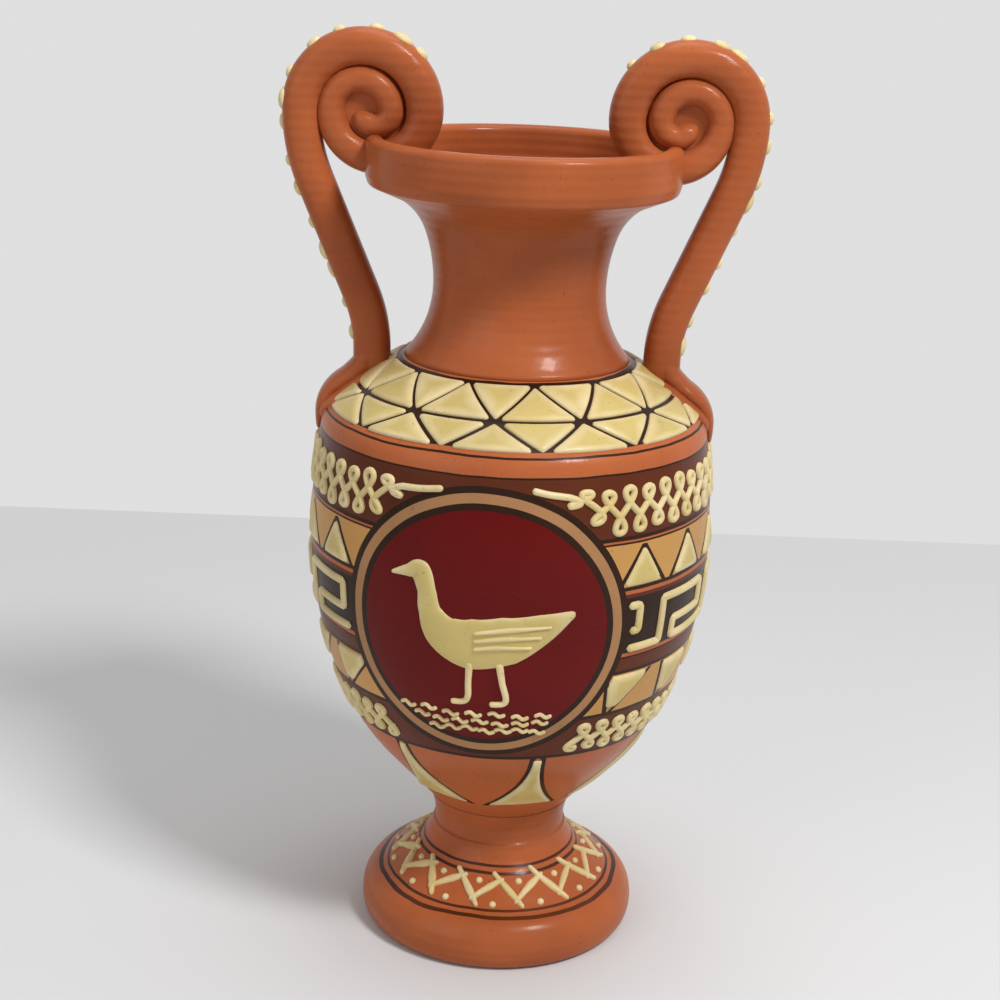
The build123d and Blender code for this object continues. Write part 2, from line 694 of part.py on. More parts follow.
# Flares round the base of the body, narrow above and spread below
with BuildPart() as flare:
    with BuildSketch(Plane.XZ):
        with BuildLine():
            tip = Vector(FLARE_TIP / 2, STEM_TOP + FLARE_FOOT_RISE + FLARE_HEIGHT)
            toe = Vector(FLARE_SPREAD / 2, STEM_TOP + FLARE_FOOT_RISE)
            TangentArc(tip, toe, tangent=(0, -1))
            mirror(about=Plane.YZ)
            Line(toe, (-toe.X, toe.Y))
            Line(tip, (-tip.X, tip.Y))
        make_face()
    extrude(amount=BAND_REACH)
    add(body_slip.part, mode=Mode.INTERSECT)

with BuildPart() as base_flares:
    with PolarLocations(0, FLARE_COUNT, BASE_FLARE_TURN):
        add(flare.part)
base_flares.part.label = "base_flares"
export_step(base_flares.part, "parts/base_flares.step")

# Zigzag sprig on the foot's top, with a spur beyond each bend
SPRIG_PITCH = 360 / SPRIG_COUNT

with BuildPart() as sprig_unit:
    with BuildSketch(Plane.XY):
        with BuildLine():
            first = ring_point(SPRIG_INNER_RADIUS, 0)
            bend = ring_point(SPRIG_OUTER_RADIUS, SPRIG_BEND_TURN)
            last = ring_point(SPRIG_INNER_RADIUS, SPRIG_PITCH)
            Polyline(bend + (bend - first).normalized() * SPRIG_SPUR, bend, first)
            Polyline(bend, last, last + (last - bend).normalized() * SPRIG_SPUR)
        trace(line_width=SPRIG_STROKE)
    extrude(amount=STEM_TOP)
    add(foot_slip.part, mode=Mode.INTERSECT)

with BuildPart() as foot_sprig:
    with PolarLocations(0, SPRIG_COUNT, SPRIG_TURN):
        add(sprig_unit.part)
foot_sprig.part.label = "foot_sprig"
export_step(foot_sprig.part, "parts/foot_sprig.step")

# Dots of slip on the foot's top, one inside and one outside each bend of the sprig


def slope_plane(radius, turn):
    """Plane that lies on the foot's sloping top at a radius and at a turn from the front."""
    rise = (LEDGE_RADIUS - radius) * tan(radians(FOOT_SLOPE))
    seat = LEDGE + (radius - LEDGE_RADIUS, rise) + polar(SEAT_GAP, SWEEP_TURN)
    outward = polar(1, SWEEP_TURN)
    front = ring_point(1, turn)
    return Plane(
        (front.X * seat.X, front.Y * seat.X, seat.Y),
        z_dir=(front.X * outward.X, front.Y * outward.X, outward.Y),
    )


with BuildPart() as foot_dots:
    for number in range(SPRIG_COUNT):
        turn = SPRIG_TURN + number * SPRIG_PITCH
        with BuildSketch(
            slope_plane(OUTER_DOT_RADIUS, turn),
            slope_plane(INNER_DOT_RADIUS, turn + SPRIG_PITCH / 2),
        ):
            RegularPolygon(FOOT_DOT_RADIUS, FOOT_DOT_SIDES)
        extrude(amount=SLIP_HEIGHT)
foot_dots.part.label = "foot_dots"
export_step(foot_dots.part, "parts/foot_dots.step")

# Standing water bird in the medallion, with its legs
BIRD_PLACE = Vector(0, MEDALLION.Y)
BIRD_OUTLINE = [
    (-29, 16.5), (-22.5, 14.5), (-20, 8), (-18, -1), (-13, -8), (-5, -12),
    (6, -12), (15, -7), (22, 0), (29, 7.5), (18, 6.5), (8, 7),
    (-3, 5.5), (-10, 7.5), (-13.5, 13.5), (-15.5, 19.5), (-20, 22), (-23.5, 19.5),
]
BIRD_LEGS = [[(-3, -9), (-4, -23), (-9, -24.5)], [(6, -9), (8, -23), (3, -24.5)]]

with BuildPart() as bird:
    with BuildSketch(Plane.XZ):
        with BuildLine():
            Polyline(*[BIRD_PLACE + point for point in BIRD_OUTLINE], close=True)
        make_face()
        for leg in BIRD_LEGS:
            with BuildLine() as leg_line:
                Polyline(*[BIRD_PLACE + point for point in leg])
            trace(leg_line.line, line_width=BIRD_LEG)
    extrude(amount=BAND_REACH)
    add(body_slip.part, mode=Mode.INTERSECT)

with BuildPart() as medallion_bird:
    with Locations(Rotation(0, 0, MEDALLION_TURN)):
        add(bird.part)
medallion_bird.part.label = "medallion_bird"
export_step(medallion_bird.part, "parts/medallion_bird.step")

# Ripples on the water under the bird
with BuildPart() as ripple_row:
    with BuildSketch(Plane.XZ):
        with GridLocations(RIPPLE_PITCH, 0, RIPPLE_COUNT, 1) as places:
            starts = [place.position for place in places]
        for place in starts:
            with BuildLine() as ripple_line:
                Polyline(
                    BIRD_PLACE + (place.X - RIPPLE_LENGTH / 2, -RIPPLE_DROP),
                    BIRD_PLACE + (place.X, RIPPLE_RISE - RIPPLE_DROP),
                    BIRD_PLACE + (place.X + RIPPLE_LENGTH / 2, -RIPPLE_DROP),
                )
            trace(ripple_line.line, line_width=RIPPLE_STROKE)
    extrude(amount=BAND_REACH)
    add(body_slip.part, mode=Mode.INTERSECT)

with BuildPart() as ripples:
    with Locations(Rotation(0, 0, MEDALLION_TURN)):
        add(ripple_row.part)
ripples.part.label = "ripples"
export_step(ripples.part, "parts/ripples.step")
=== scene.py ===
"""Two-handled terracotta jar: thrown clay, glaze and raised slip, dressed over its solids.

All shapes are in millimetres until they go into a mesh. Turns are degrees about the jar's axis,
0 at the front (-Y) and growing towards +X.
"""

from types import SimpleNamespace

import bpy
import numpy as np
from bpy.props import FloatProperty, FloatVectorProperty, IntProperty, PointerProperty
from mathutils import Matrix, Vector


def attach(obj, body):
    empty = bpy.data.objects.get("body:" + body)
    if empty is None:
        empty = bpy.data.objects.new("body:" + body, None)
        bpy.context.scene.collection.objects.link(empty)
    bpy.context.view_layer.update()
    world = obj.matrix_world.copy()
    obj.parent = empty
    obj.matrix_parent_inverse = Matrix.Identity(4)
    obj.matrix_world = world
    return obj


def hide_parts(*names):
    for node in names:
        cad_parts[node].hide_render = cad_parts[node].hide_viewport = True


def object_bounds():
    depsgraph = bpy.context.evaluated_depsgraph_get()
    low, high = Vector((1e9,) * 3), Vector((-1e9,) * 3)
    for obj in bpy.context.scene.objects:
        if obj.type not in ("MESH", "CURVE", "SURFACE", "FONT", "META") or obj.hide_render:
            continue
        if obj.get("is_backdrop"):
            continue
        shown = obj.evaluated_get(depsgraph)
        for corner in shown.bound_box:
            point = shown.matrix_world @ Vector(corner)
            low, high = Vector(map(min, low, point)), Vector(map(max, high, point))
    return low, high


bl_info = {
    "name": "Volute Jar",
    "version": (1, 0, 0),
    "blender": (4, 5, 0),
    "location": "View3D > Sidebar > Jar",
    "description": "Builds the clay, the glaze and the raised slip of a two-handled jar",
    "category": "Object",
}

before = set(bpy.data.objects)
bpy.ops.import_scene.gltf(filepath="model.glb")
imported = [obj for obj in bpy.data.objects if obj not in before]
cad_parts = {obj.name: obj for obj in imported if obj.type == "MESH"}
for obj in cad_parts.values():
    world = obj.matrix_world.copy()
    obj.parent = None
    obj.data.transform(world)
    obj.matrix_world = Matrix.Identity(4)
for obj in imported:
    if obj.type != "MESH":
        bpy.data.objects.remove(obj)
CAD_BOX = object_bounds()

MM = 0.001
ROUND = 320
SLIP_SINK = 0.5
PAD_STEP = 0.8


# Lines


def unit(rows):
    """Vectors scaled to a length of 1."""
    return rows / np.linalg.norm(rows, axis=-1, keepdims=True)


def sin_cos(turn):
    """Sine and cosine of a turn in degrees, as one vector."""
    return np.array((np.sin(np.radians(turn)), np.cos(np.radians(turn))))


def lengths_along(points):
    """Distance of each point of a line from its start, as the sum of the gaps before it."""
    gaps = np.linalg.norm(np.diff(points, axis=0), axis=1)
    return np.concatenate(([0], np.cumsum(gaps)))


def even(points, step):
    """The same line with points spaced evenly by their distance along it."""
    along = lengths_along(points)
    new = np.linspace(0, along[-1], max(3, int(along[-1] / step) + 1))
    return np.stack([np.interp(new, along, column) for column in points.T], 1)


def taper(count, places, values):
    """Values given at places from 0 to 1, read off evenly at a count of places between them."""
    return np.interp(np.linspace(0, 1, count), places, values)


def arc_run(start, turns, step=2.0):
    """Points along tangent arcs: each is (radius, first, last) by the angle of its normal.

    The centre is the start less radius times the first normal, and each point is the centre
    plus radius times its own normal. A hollow arc has a negative radius.
    """
    start = np.array(start, float)
    rows = []
    for radius, first, last in turns:
        count = max(3, int(abs(radius * np.radians(last - first)) / step) + 2)
        angle = np.radians(np.linspace(first, last, count))
        normal = np.stack((np.cos(angle), np.sin(angle)), 1)
        run = start + radius * (normal - normal[0])
        rows.append(run[1:] if rows else run)
        start = run[-1]
    return np.concatenate(rows)


def rounded(corners, radii, count=7):
    """Polyline whose inner corners are replaced by tangent arcs of the given radii.

    A corner's arc is a weighted mean of the two tangent points and the corner, with the
    weights of a circle written as a rational quadratic curve.
    """
    corners = np.array(corners, float)
    rows = [corners[:1]]
    for before, corner, after, radius in zip(corners, corners[1:], corners[2:], radii):
        back, ahead = unit(before - corner), unit(after - corner)
        half = np.arccos(np.clip(back @ ahead, -1, 1)) / 2
        reach = radius / np.tan(half)
        t = np.linspace(0, 1, count)[:, None]
        weights = (1 - t) ** 2, 2 * t * (1 - t) * np.sin(half), t**2
        ends = corner + back * reach, corner, corner + ahead * reach
        rows.append(sum(w * e for w, e in zip(weights, ends)) / sum(weights))
    rows.append(corners[-1:])
    return np.concatenate(rows)


def rounded_ring(corners, radius):
    """Closed outline of corners that are all rounded by one radius, its points evenly spaced."""
    corners = np.array(corners, float)
    ring = rounded(np.concatenate((corners, corners[:2])), [radius] * len(corners), 6)[1:-1]
    return even(np.concatenate((ring, ring[:1])), PAD_STEP)[:-1]


def curve_through(points, count):
    """Smooth curve through points: each span is the cubic whose end slopes are the half chords
    between the neighbouring points, sampled evenly in its parameter."""
    points = np.array(points, float)
    padded = np.concatenate((2 * points[:1] - points[1:2], points, 2 * points[-1:] - points[-2:-1]))
    place = np.linspace(0, len(points) - 1, count)
    span = np.minimum(place.astype(int), len(points) - 2)
    t = (place - span)[:, None]
    p0, p1, p2, p3 = (padded[span + k] for k in range(4))
    return 0.5 * (
        2 * p1
        + (p2 - p0) * t
        + (2 * p0 - 5 * p1 + 4 * p2 - p3) * t**2
        + (3 * p1 - p0 - 3 * p2 + p3) * t**3
    )


def end_caps(run, half, least):
    """Share of the full section at each distance of a run: it falls in a quarter ellipse, half
    long, at both ends. The root is never taken of less than the least."""
    cap = np.minimum(np.minimum(run, run[-1] - run) / half, 1)
    return np.sqrt(np.maximum(1 - (1 - cap) ** 2, least))


# Meshes


def grid_faces(rows, columns, wrap_rows=False):
    """Quads of a grid whose columns close on themselves, and its rows too if asked."""
    row = np.arange(rows if wrap_rows else rows - 1)[:, None] * columns
    after = (row + columns) % (rows * columns)
    column = np.arange(columns)[None, :]
    beside = (column + 1) % columns
    corners = row + column, row + beside, after + beside, after + column
    return np.stack(corners, -1).reshape(-1, 4)


def lathe(profile, closed):
    """Surface of a profile (radius, height) turned about the axis.

    An open profile starts and ends on the axis, where its poles are single points.
    """
    turn = np.linspace(0, 2 * np.pi, ROUND, endpoint=False)
    rings = profile if closed else profile[1:-1]
    radius = rings[:, :1]
    height = np.broadcast_to(rings[:, 1:], (len(rings), ROUND))
    points = np.stack((radius * np.sin(turn), -radius * np.cos(turn), height), -1).reshape(-1, 3)
    faces = grid_faces(len(rings), ROUND, closed).tolist()
    if not closed:
        first, last = len(points), len(points) + 1
        poles = [(0, 0, profile[0, 1]), (0, 0, profile[-1, 1])]
        points = np.concatenate((points, poles))
        here = np.arange(ROUND)
        beside = (here + 1) % ROUND
        top = (len(rings) - 1) * ROUND
        faces += np.stack((beside, here, np.full(ROUND, first)), 1).tolist()
        faces += np.stack((top + here, top + beside, np.full(ROUND, last)), 1).tolist()
    return points, faces


def tube(rings):
    """Closed surface of a run of rings, with a face over each end."""
    rows, columns = rings.shape[:2]
    ends = [list(range(columns))[::-1], list(range((rows - 1) * columns, rows * columns))]
    return rings.reshape(-1, 3), grid_faces(rows, columns).tolist() + ends


def volume(points, faces):
    """Six times the volume that the faces close, summed over their fans of triangles. It is
    negative where they are inside out."""
    total = 0.0
    for size in {len(face) for face in faces}:
        corner = points[np.array([face for face in faces if len(face) == size])]
        for k in range(1, size - 1):
            total += np.einsum("ij,ij->", corner[:, 0], np.cross(corner[:, k], corner[:, k + 1]))
    return total


def join(pieces):
    """One list of points and faces from several closed surfaces, each turned to face outwards."""
    points, faces, start = [], [], 0
    for piece_points, piece_faces, *_ in pieces:
        points.append(piece_points)
        order = 1 if volume(piece_points, piece_faces) > 0 else -1
        faces += [[start + index for index in face[::order]] for face in piece_faces]
        start += len(piece_points)
    return np.concatenate(points), faces


def put_object(name, data):
    """Link an object with new data into the scene under a name."""
    holder = bpy.data.objects.new(name, data)
    bpy.context.scene.collection.objects.link(holder)
    return holder


def put_piece(node, surfaces, material):
    """Put closed surfaces into one smooth mesh that rides on the jar and stands for a solid."""
    points, faces = join(surfaces)
    name = "jar_" + node
    mesh = bpy.data.meshes.new(name)
    mesh.from_pydata((points * MM).tolist(), [], faces)
    mesh.shade_smooth()
    mesh.materials.append(material)
    piece = put_object(name, mesh)
    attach(piece, "root")
    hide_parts(node)
    return piece


# Clay forms: points are (radius, height), arcs are (radius, first, last)

BELLY = (65.6, 138.942)
BASE_SLOPE = 42
LOWER_ARCS = [(138, 0, -22), (79, -22, -BASE_SLOPE)]
UPPER_ARCS = [(235, 0, 9.306), (7, 9.306, 48), (123, 48, 62.95)]
CLAY_WALL = 5.0
FLOOR_TOP = 52.98
FOOT_LEDGE = (39.3, 17)
STEM_RADIUS = 22.2
STEM_TOP = 44.979
NECK_SEAT = (30.7, 197.79)
NECK_WAIST = (27.6, 220.69)

# Handles: points are (across, height) in the plane through both, for the right one

HANDLE_SIDES = (("right", 1), ("left", -1))
VOLUTE = np.array((50.712, 273.892))
STRAP_FOOT = (46.8, 198.05)
STRAP_LEAN = 22.983
STRAP_RUN = 37.847 * sin_cos(STRAP_LEAN)


def body_outline():
    """Outer wall of the body from the stem to the neck: a cone and five tangent arcs."""
    lower = arc_run(BELLY, LOWER_ARCS)[::-1]
    radius, height = lower[0]
    base = (radius - (height - STEM_TOP) * np.tan(np.radians(BASE_SLOPE)), STEM_TOP)
    cone = np.linspace(base, lower[0], 12)
    line = np.concatenate((cone[:-1], lower[:-1], arc_run(BELLY, UPPER_ARCS, step=1.0)))
    return even(line, step=1.1)


def foot_top_outline():
    """Top of the foot from its ledge up the stem: a cone, a hollow arc and an upright."""
    corners = [FOOT_LEDGE, (STEM_RADIUS, 28.97), (STEM_RADIUS, 40)]
    return even(rounded(corners, radii=[18], count=15), step=0.6)


class Wall:
    """A turned surface that slip lies on, measured by its turn and the length along its outline."""

    def __init__(self, outline):
        self.outline = outline
        self.length = lengths_along(outline)
        slope = np.gradient(outline, self.length, axis=0)
        self.normal = np.stack((slope[:, 1], -slope[:, 0]), 1)

    def at_height(self, height):
        """Length along the outline at a height."""
        return np.interp(height, self.outline[:, 1], self.length)

    def at_radius(self, radius):
        """Length along the outline at a radius, past the widest place."""
        start = np.argmax(self.outline[:, 0])
        return np.interp(radius, self.outline[start:, 0][::-1], self.length[start:][::-1])

    def radius(self, length):
        """Radius of the wall at a length along its outline."""
        return np.interp(length, self.length, self.outline[:, 0])

    def point(self, turn, length, lift):
        """Points at a turn and length, lifted along the normal of the wall."""
        r, z, nr, nz = (
            np.interp(length, self.length, column)
            for column in (*self.outline.T, *self.normal.T)
        )
        angle = np.radians(turn)
        out = r + nr * lift
        place = out * np.sin(angle), -out * np.cos(angle), z + nz * lift
        return np.stack(np.broadcast_arrays(*place), -1)


BODY = Wall(body_outline())
FOOT = Wall(foot_top_outline())


# Slip forms


def slip_stroke(wall, turn, length, half, height, sides=9):
    """Piped stroke along a path on a wall.

    Across the path the stroke is half an ellipse, half wide and height high, which follows the
    wall, on an edge sunk below it. Half and height fall to nothing in a quarter ellipse at both
    ends. The third result is the share of pooled glaze at each point: the rise times the half
    over 6 mm.
    """
    least_cap, least_end, fullness, pool_half = 0.4, 0.01, 0.8, 6
    turn, length = np.array(turn, float), np.array(length, float)
    half = np.broadcast_to(half, turn.shape)
    radius = wall.radius(length)
    across, along = np.gradient(np.radians(turn)) * radius, np.gradient(length)
    size = np.hypot(across, along)
    run = np.concatenate(([0], np.cumsum((size[1:] + size[:-1]) / 2)))
    end = end_caps(run, np.maximum(half, least_cap), least_end)
    angle = np.linspace(0, np.pi, sides)
    side = np.concatenate(([1], np.cos(angle), [-1]))
    rise = np.concatenate(([0], np.sin(angle) ** fullness, [0]))
    sink = np.concatenate(([1], np.zeros(sides), [1]))
    wide = (half * end)[:, None] * side
    lift = (height * end)[:, None] * rise - SLIP_SINK * sink
    new_turn = turn[:, None] - np.degrees((along / size / radius)[:, None] * wide)
    new_length = length[:, None] + (across / size)[:, None] * wide
    pool = np.minimum(half / pool_half, 1)[:, None] * rise
    return *tube(wall.point(new_turn, new_length, lift)), pool.ravel()


def slip_pad(wall, turn, length, height, rings=9, flat=4.0):
    """Puffed pad inside an outline on a wall.

    The outline shrinks to its middle by s from 1 almost to 0, and the lift is height times the
    root of 1 - s to the power flat, so the top is broad and the edge round. The rim is sunk below
    the wall. The third result is the share of pooled glaze at each point, 1 - s.
    """
    least = 0.02
    outline = np.stack((turn, length), 1)
    middle = outline.mean(0)
    s = np.concatenate(([1], np.cos(np.linspace(0, np.pi / 2, rings + 1))[:-1], [least]))
    lift = height * np.sqrt(np.maximum(1 - s**flat, 0))
    lift[0] = -SLIP_SINK
    place = middle + s[:, None, None] * (outline - middle)
    points, faces = tube(wall.point(place[..., 0], place[..., 1], lift[:, None]))
    return points, faces, np.repeat(1 - s, len(outline))


def slip_dot(centre, outward, along, radius, height, sides=16, rings=6):
    """Dome of slip: rings at radius times cos a and height times sin a, on a sunk foot."""
    crown = np.pi / 2 * 0.98
    angle = np.concatenate(([0], np.linspace(0, crown, rings)))
    lift = height * np.sin(angle)
    lift[0] = -SLIP_SINK
    around = np.linspace(0, 2 * np.pi, sides, endpoint=False)
    beside = np.cross(outward, unit(along))
    flat = np.cos(around)[:, None] * along + np.sin(around)[:, None] * beside
    dome = radius * np.cos(angle)[:, None, None] * flat + lift[:, None, None] * outward
    points, faces = tube(centre + dome)
    return points, faces, np.zeros(len(points))


def wobble(count, size, seed):
    """Small repeatable unevenness of handwork: sums of sines of the number."""
    number = np.arange(count) + seed
    return size * (np.sin(number * 2.399) + np.sin(number * 5.113 + 1)) / 2


# Settings


def length_setting(name, description, value, low, high):
    """Length property, given in millimetres and kept in metres, with its default and limits."""
    return FloatProperty(
        name=name, description=description, subtype="DISTANCE", unit="LENGTH", precision=4,
        default=value * MM, min=low * MM, max=high * MM,
    )


def srgb(red, green, blue):
    """Linear colour of a screen colour in steps of 0 to 255, by the usual power curve."""
    steps = np.array((red, green, blue)) / 255
    linear = np.where(steps <= 0.04045, steps / 12.92, ((steps + 0.055) / 1.055) ** 2.4)
    return tuple(float(value) for value in linear)


def colour_setting(name, description, *steps):
    """Colour property with its default as a screen colour."""
    return FloatVectorProperty(
        name=name, description=description, subtype="COLOR", size=3, min=0, max=1,
        default=srgb(*steps),
    )


class JarClay(bpy.types.PropertyGroup):
    """Sizes of the clay members that may be changed without moving a seat."""

    lip_round: length_setting("Lip rounding", "Radius of the lip's edges", 2.6, 0.5, 2.9)
    toe_rise: length_setting("Toe rise", "Rise of the foot's toe near its top", 0, -1, 1)
    strap_square: FloatProperty(
        name="Strap squareness", description="2 is a round strap, larger is squarer",
        default=2.35, min=2, max=6,
    )


class JarSlip(bpy.types.PropertyGroup):
    """Sizes and counts of the raised slip."""

    height: length_setting("Slip height", "Height of the piped slip", 1.1, 0.3, 2)
    trail: length_setting("Trail width", "Width of a piped line", 2.1, 1, 4)
    loop_pitch: FloatProperty(
        name="Loop pitch", description="Turn from one loop of the trails to the next",
        subtype="ANGLE", unit="ROTATION",
        default=np.radians(6.6), min=np.radians(4), max=np.radians(10),
    )
    sprig_bends: IntProperty(
        name="Sprig bends", description="Outer bends of the sprig on the foot",
        default=14, min=5, max=24,
    )
    ripple_rows: IntProperty(
        name="Ripple rows", description="Rows of ripples under the bird",
        default=3, min=1, max=4,
    )


class JarColours(bpy.types.PropertyGroup):
    """Colours of the clay, the paint and the slip."""

    clay: colour_setting("Clay", "Glazed terracotta", 180, 97, 55)
    clay_deep: colour_setting("Deep clay", "Glaze where it lies thick", 142, 70, 37)
    line: colour_setting("Line", "Dark painted lines", 46, 26, 14)
    ground: colour_setting("Ground", "Dark ground behind the trails", 92, 42, 22)
    ochre: colour_setting("Ochre", "Ground between the triangles", 196, 146, 82)
    ring: colour_setting("Ring", "Ring round the medallion", 170, 124, 84)
    disc: colour_setting("Disc", "Ground of the medallion", 100, 8, 5)
    cream: colour_setting("Cream", "Raised slip", 226, 207, 160)
    cream_deep: colour_setting("Deep cream", "Slip where the glaze pools", 204, 182, 114)


# Material tools


def add_node(tree, kind, **settings):
    """Add a node and set its own options."""
    node = tree.nodes.new(kind)
    for key, value in settings.items():
        setattr(node, key, value)
    return node


def feed(tree, socket, value):
    """Link a socket to another, or set its number or colour."""
    if isinstance(value, bpy.types.NodeSocket):
        tree.links.new(value, socket)
    elif hasattr(value, "__len__"):
        socket.default_value = (*value, 1.0) if len(socket.default_value) == 4 else value
    else:
        socket.default_value = value


def feed_all(tree, node, **values):
    """Link or set sockets of a node by their names, with a low line for each space."""
    for key, value in values.items():
        feed(tree, node.inputs[key.replace("_", " ")], value)
    return node


def calc(tree, operation, *values):
    """Result of a sum on numbers."""
    node = add_node(tree, "ShaderNodeMath", operation=operation)
    for socket, value in zip(node.inputs, values):
        feed(tree, socket, value)
    return node.outputs[0]


def between(tree, value, low, high):
    """1 where low < value < high, else 0."""
    above = calc(tree, "GREATER_THAN", value, low)
    below = calc(tree, "LESS_THAN", value, high)
    return calc(tree, "MULTIPLY", above, below)


def scaled(tree, value, gain, shift, clamp=False):
    """Number times a gain plus a shift, kept from 0 to 1 if asked."""
    result = calc(tree, "MULTIPLY_ADD", value, gain, shift)
    result.node.use_clamp = clamp
    return result


def mix(tree, factor, first, second):
    """Colour between two."""
    node = add_node(tree, "ShaderNodeMix", data_type="RGBA")
    return feed_all(tree, node, Factor=factor, A=first, B=second).outputs["Result"]


def noise(tree, place, scale, detail):
    """Cloudy number from 0 to 1 at a place; the scale is per metre."""
    node = add_node(tree, "ShaderNodeTexNoise")
    return feed_all(tree, node, Vector=place, Scale=scale, Detail=detail).outputs["Fac"]


def unsteady(tree, place, scale, size):
    """Slow wander of a hand-drawn line in millimetres, half the size to either side."""
    return scaled(tree, noise(tree, place, scale, detail=2.0), gain=size, shift=-size / 2)


def bands(tree, value, colours, stops, high):
    """Colour by steps of a number: stops are (start, name of a colour), in the number's own unit,
    from the first start up to high."""
    low = stops[0][0]
    node = add_node(tree, "ShaderNodeValToRGB")
    ramp = node.color_ramp
    ramp.interpolation = "CONSTANT"
    while len(ramp.elements) < len(stops):
        ramp.elements.new(1.0)
    for element, (start, name) in zip(ramp.elements, stops):
        element.position = (start - low) / (high - low)
        element.color = (*getattr(colours, name), 1.0)
    span = add_node(tree, "ShaderNodeMapRange")
    feed_all(tree, span, Value=value, From_Min=low, From_Max=high)
    return feed_all(tree, node, Fac=span.outputs["Result"]).outputs["Color"]


def split_place(tree, place):
    """The three coordinates of a place."""
    node = add_node(tree, "ShaderNodeSeparateXYZ")
    return feed_all(tree, node, Vector=place).outputs


def cylinder_place(tree, place):
    """Turn from the front in degrees, radius and height in millimetres, at a place."""
    x, y, z = split_place(tree, place)
    turn = calc(tree, "DEGREES", calc(tree, "ARCTAN2", x, calc(tree, "MULTIPLY", y, -1.0)))
    squares = calc(tree, "MULTIPLY_ADD", x, x, calc(tree, "MULTIPLY", y, y))
    radius = calc(tree, "DIVIDE", calc(tree, "SQRT", squares), MM)
    height = scaled(tree, z, gain=1 / MM, shift=unsteady(tree, place, scale=45.0, size=1.2))
    return turn, radius, height


def glaze(name):
    """Material of a glossy glaze: its tree, its object coordinates and its shader."""
    material = bpy.data.materials.new(name)
    material.use_nodes = True
    tree = material.node_tree
    place = add_node(tree, "ShaderNodeTexCoord").outputs["Object"]
    shader = tree.nodes["Principled BSDF"]
    feed_all(tree, shader, IOR=1.5, Specular_IOR_Level=0.12, Coat_Weight=0.07, Coat_Roughness=0.08)
    return material, tree, place, shader


def finish_glaze(tree, place, shader, colour, rings=0.0):
    """Clouds and specks in the colour, an uneven gloss and a hand-worked bump.

    Rings is the share of the throwing rings in the bump, a sine of the height.
    """
    speck_level, speck_share, soot, ring_rate = 0.74, 0.35, (0.05, 0.02, 0.01), 1900.0
    clouds = noise(tree, place, scale=38.0, detail=5.0)
    tone = add_node(tree, "ShaderNodeHueSaturation")
    feed_all(tree, tone, Color=colour, Value=scaled(tree, clouds, gain=0.5, shift=0.75))
    grains = noise(tree, place, scale=900.0, detail=1.0)
    specks = calc(tree, "MULTIPLY", calc(tree, "GREATER_THAN", grains, speck_level), speck_share)
    wave = calc(tree, "SINE", calc(tree, "MULTIPLY", split_place(tree, place)["Z"], ring_rate))
    relief = scaled(tree, wave, gain=rings, shift=noise(tree, place, scale=160.0, detail=4.0))
    bump = add_node(tree, "ShaderNodeBump")
    feed_all(tree, bump, Strength=0.25, Distance=0.6 * MM, Height=relief)
    feed_all(
        tree, shader, Base_Color=mix(tree, specks, tone.outputs["Color"], soot),
        Roughness=scaled(tree, clouds, gain=0.25, shift=0.18), Normal=bump.outputs["Normal"],
    )


# Painted and piped bands: turns in degrees, sizes and heights in millimetres

MEDALLION_TURN = -7.0
MEDALLION_HEIGHT = 125.942
MEDALLION_CENTRE = BODY.point(MEDALLION_TURN, BODY.at_height(MEDALLION_HEIGHT), 0.0)
MEDALLION_PAINT = 46.2
MEDALLION_CLEAR = 46.8
TRAIL_CLEAR = 49.0
TRIANGLES = SimpleNamespace(
    first=39.0, pitch=360 / 19, count=15, foot=139.542, width=17.0, tall=12.5, paint=(139, 152.6)
)
LOWER_PANES = SimpleNamespace(
    first=38.75, pitch=22.5, count=13, top=108.942, width=17.0, heel=2.2, toe=5.5, tall=11.5,
    paint=(95.6, 109.2),
)
FLARES = SimpleNamespace(
    first=13.0, pitch=360 / 7, count=7, foot=53.479, tall=25.0, tip=2.6, spread=21.0, bow=38.57,
    paint=(52.5, 79.5),
)
BODY_BANDS = (
    (40, "clay"), (79, "line"), (80.2, "ground"), (94.3, "line"), (95.6, "ochre"), (109.2, "line"),
    (110.4, "ground"), (114.4, "line"), (115.6, "clay"), (116.6, "line"), (135.2, "ground"),
    (136.8, "clay"), (137.8, "line"), (139, "ochre"), (152.6, "line"), (153.5, "clay"),
    (154.3, "line"), (155.3, "ground"), (173.8, "line"), (175.0, "clay"), (179.7, "line"),
    (180.6, "clay"), (181.6, "line"), (197.3, "clay"),
)
FOOT_BANDS = (
    (0, "clay"), (16.2, "line"), (16.7, "clay"), (17.5, "line"), (18.1, "clay"),
    (25.3, "line"), (26.0, "clay"), (27.2, "line"), (28.0, "clay"),
)
DISC_BANDS = ((0, "disc"), (38.8, "line"), (41.0, "ring"), (43.9, "line"))


def medallion_reach(turn, length):
    """Distance of the wall from the medallion's centre, at a turn and a length of the outline."""
    return np.linalg.norm(BODY.point(turn, length, 0.0) - MEDALLION_CENTRE, axis=-1)


def ring_rise(turn, radius):
    """Height over the medallion's centre at which a circle that trails keep clear of meets a turn
    of the wall of a given radius: the root of its square less that of the level distance."""
    r = np.hypot(*MEDALLION_CENTRE[:2])
    away = radius**2 + r**2 - 2 * radius * r * np.cos(np.radians(turn - MEDALLION_TURN))
    return np.sqrt(np.maximum(TRAIL_CLEAR**2 - away, 0))


# Materials


def clay_pools(tree, place):
    """Share of thick glaze on bare clay, in clouds."""
    clouds = noise(tree, place, scale=14.0, detail=4.0)
    return scaled(tree, clouds, gain=2.2, shift=-0.75, clamp=True)


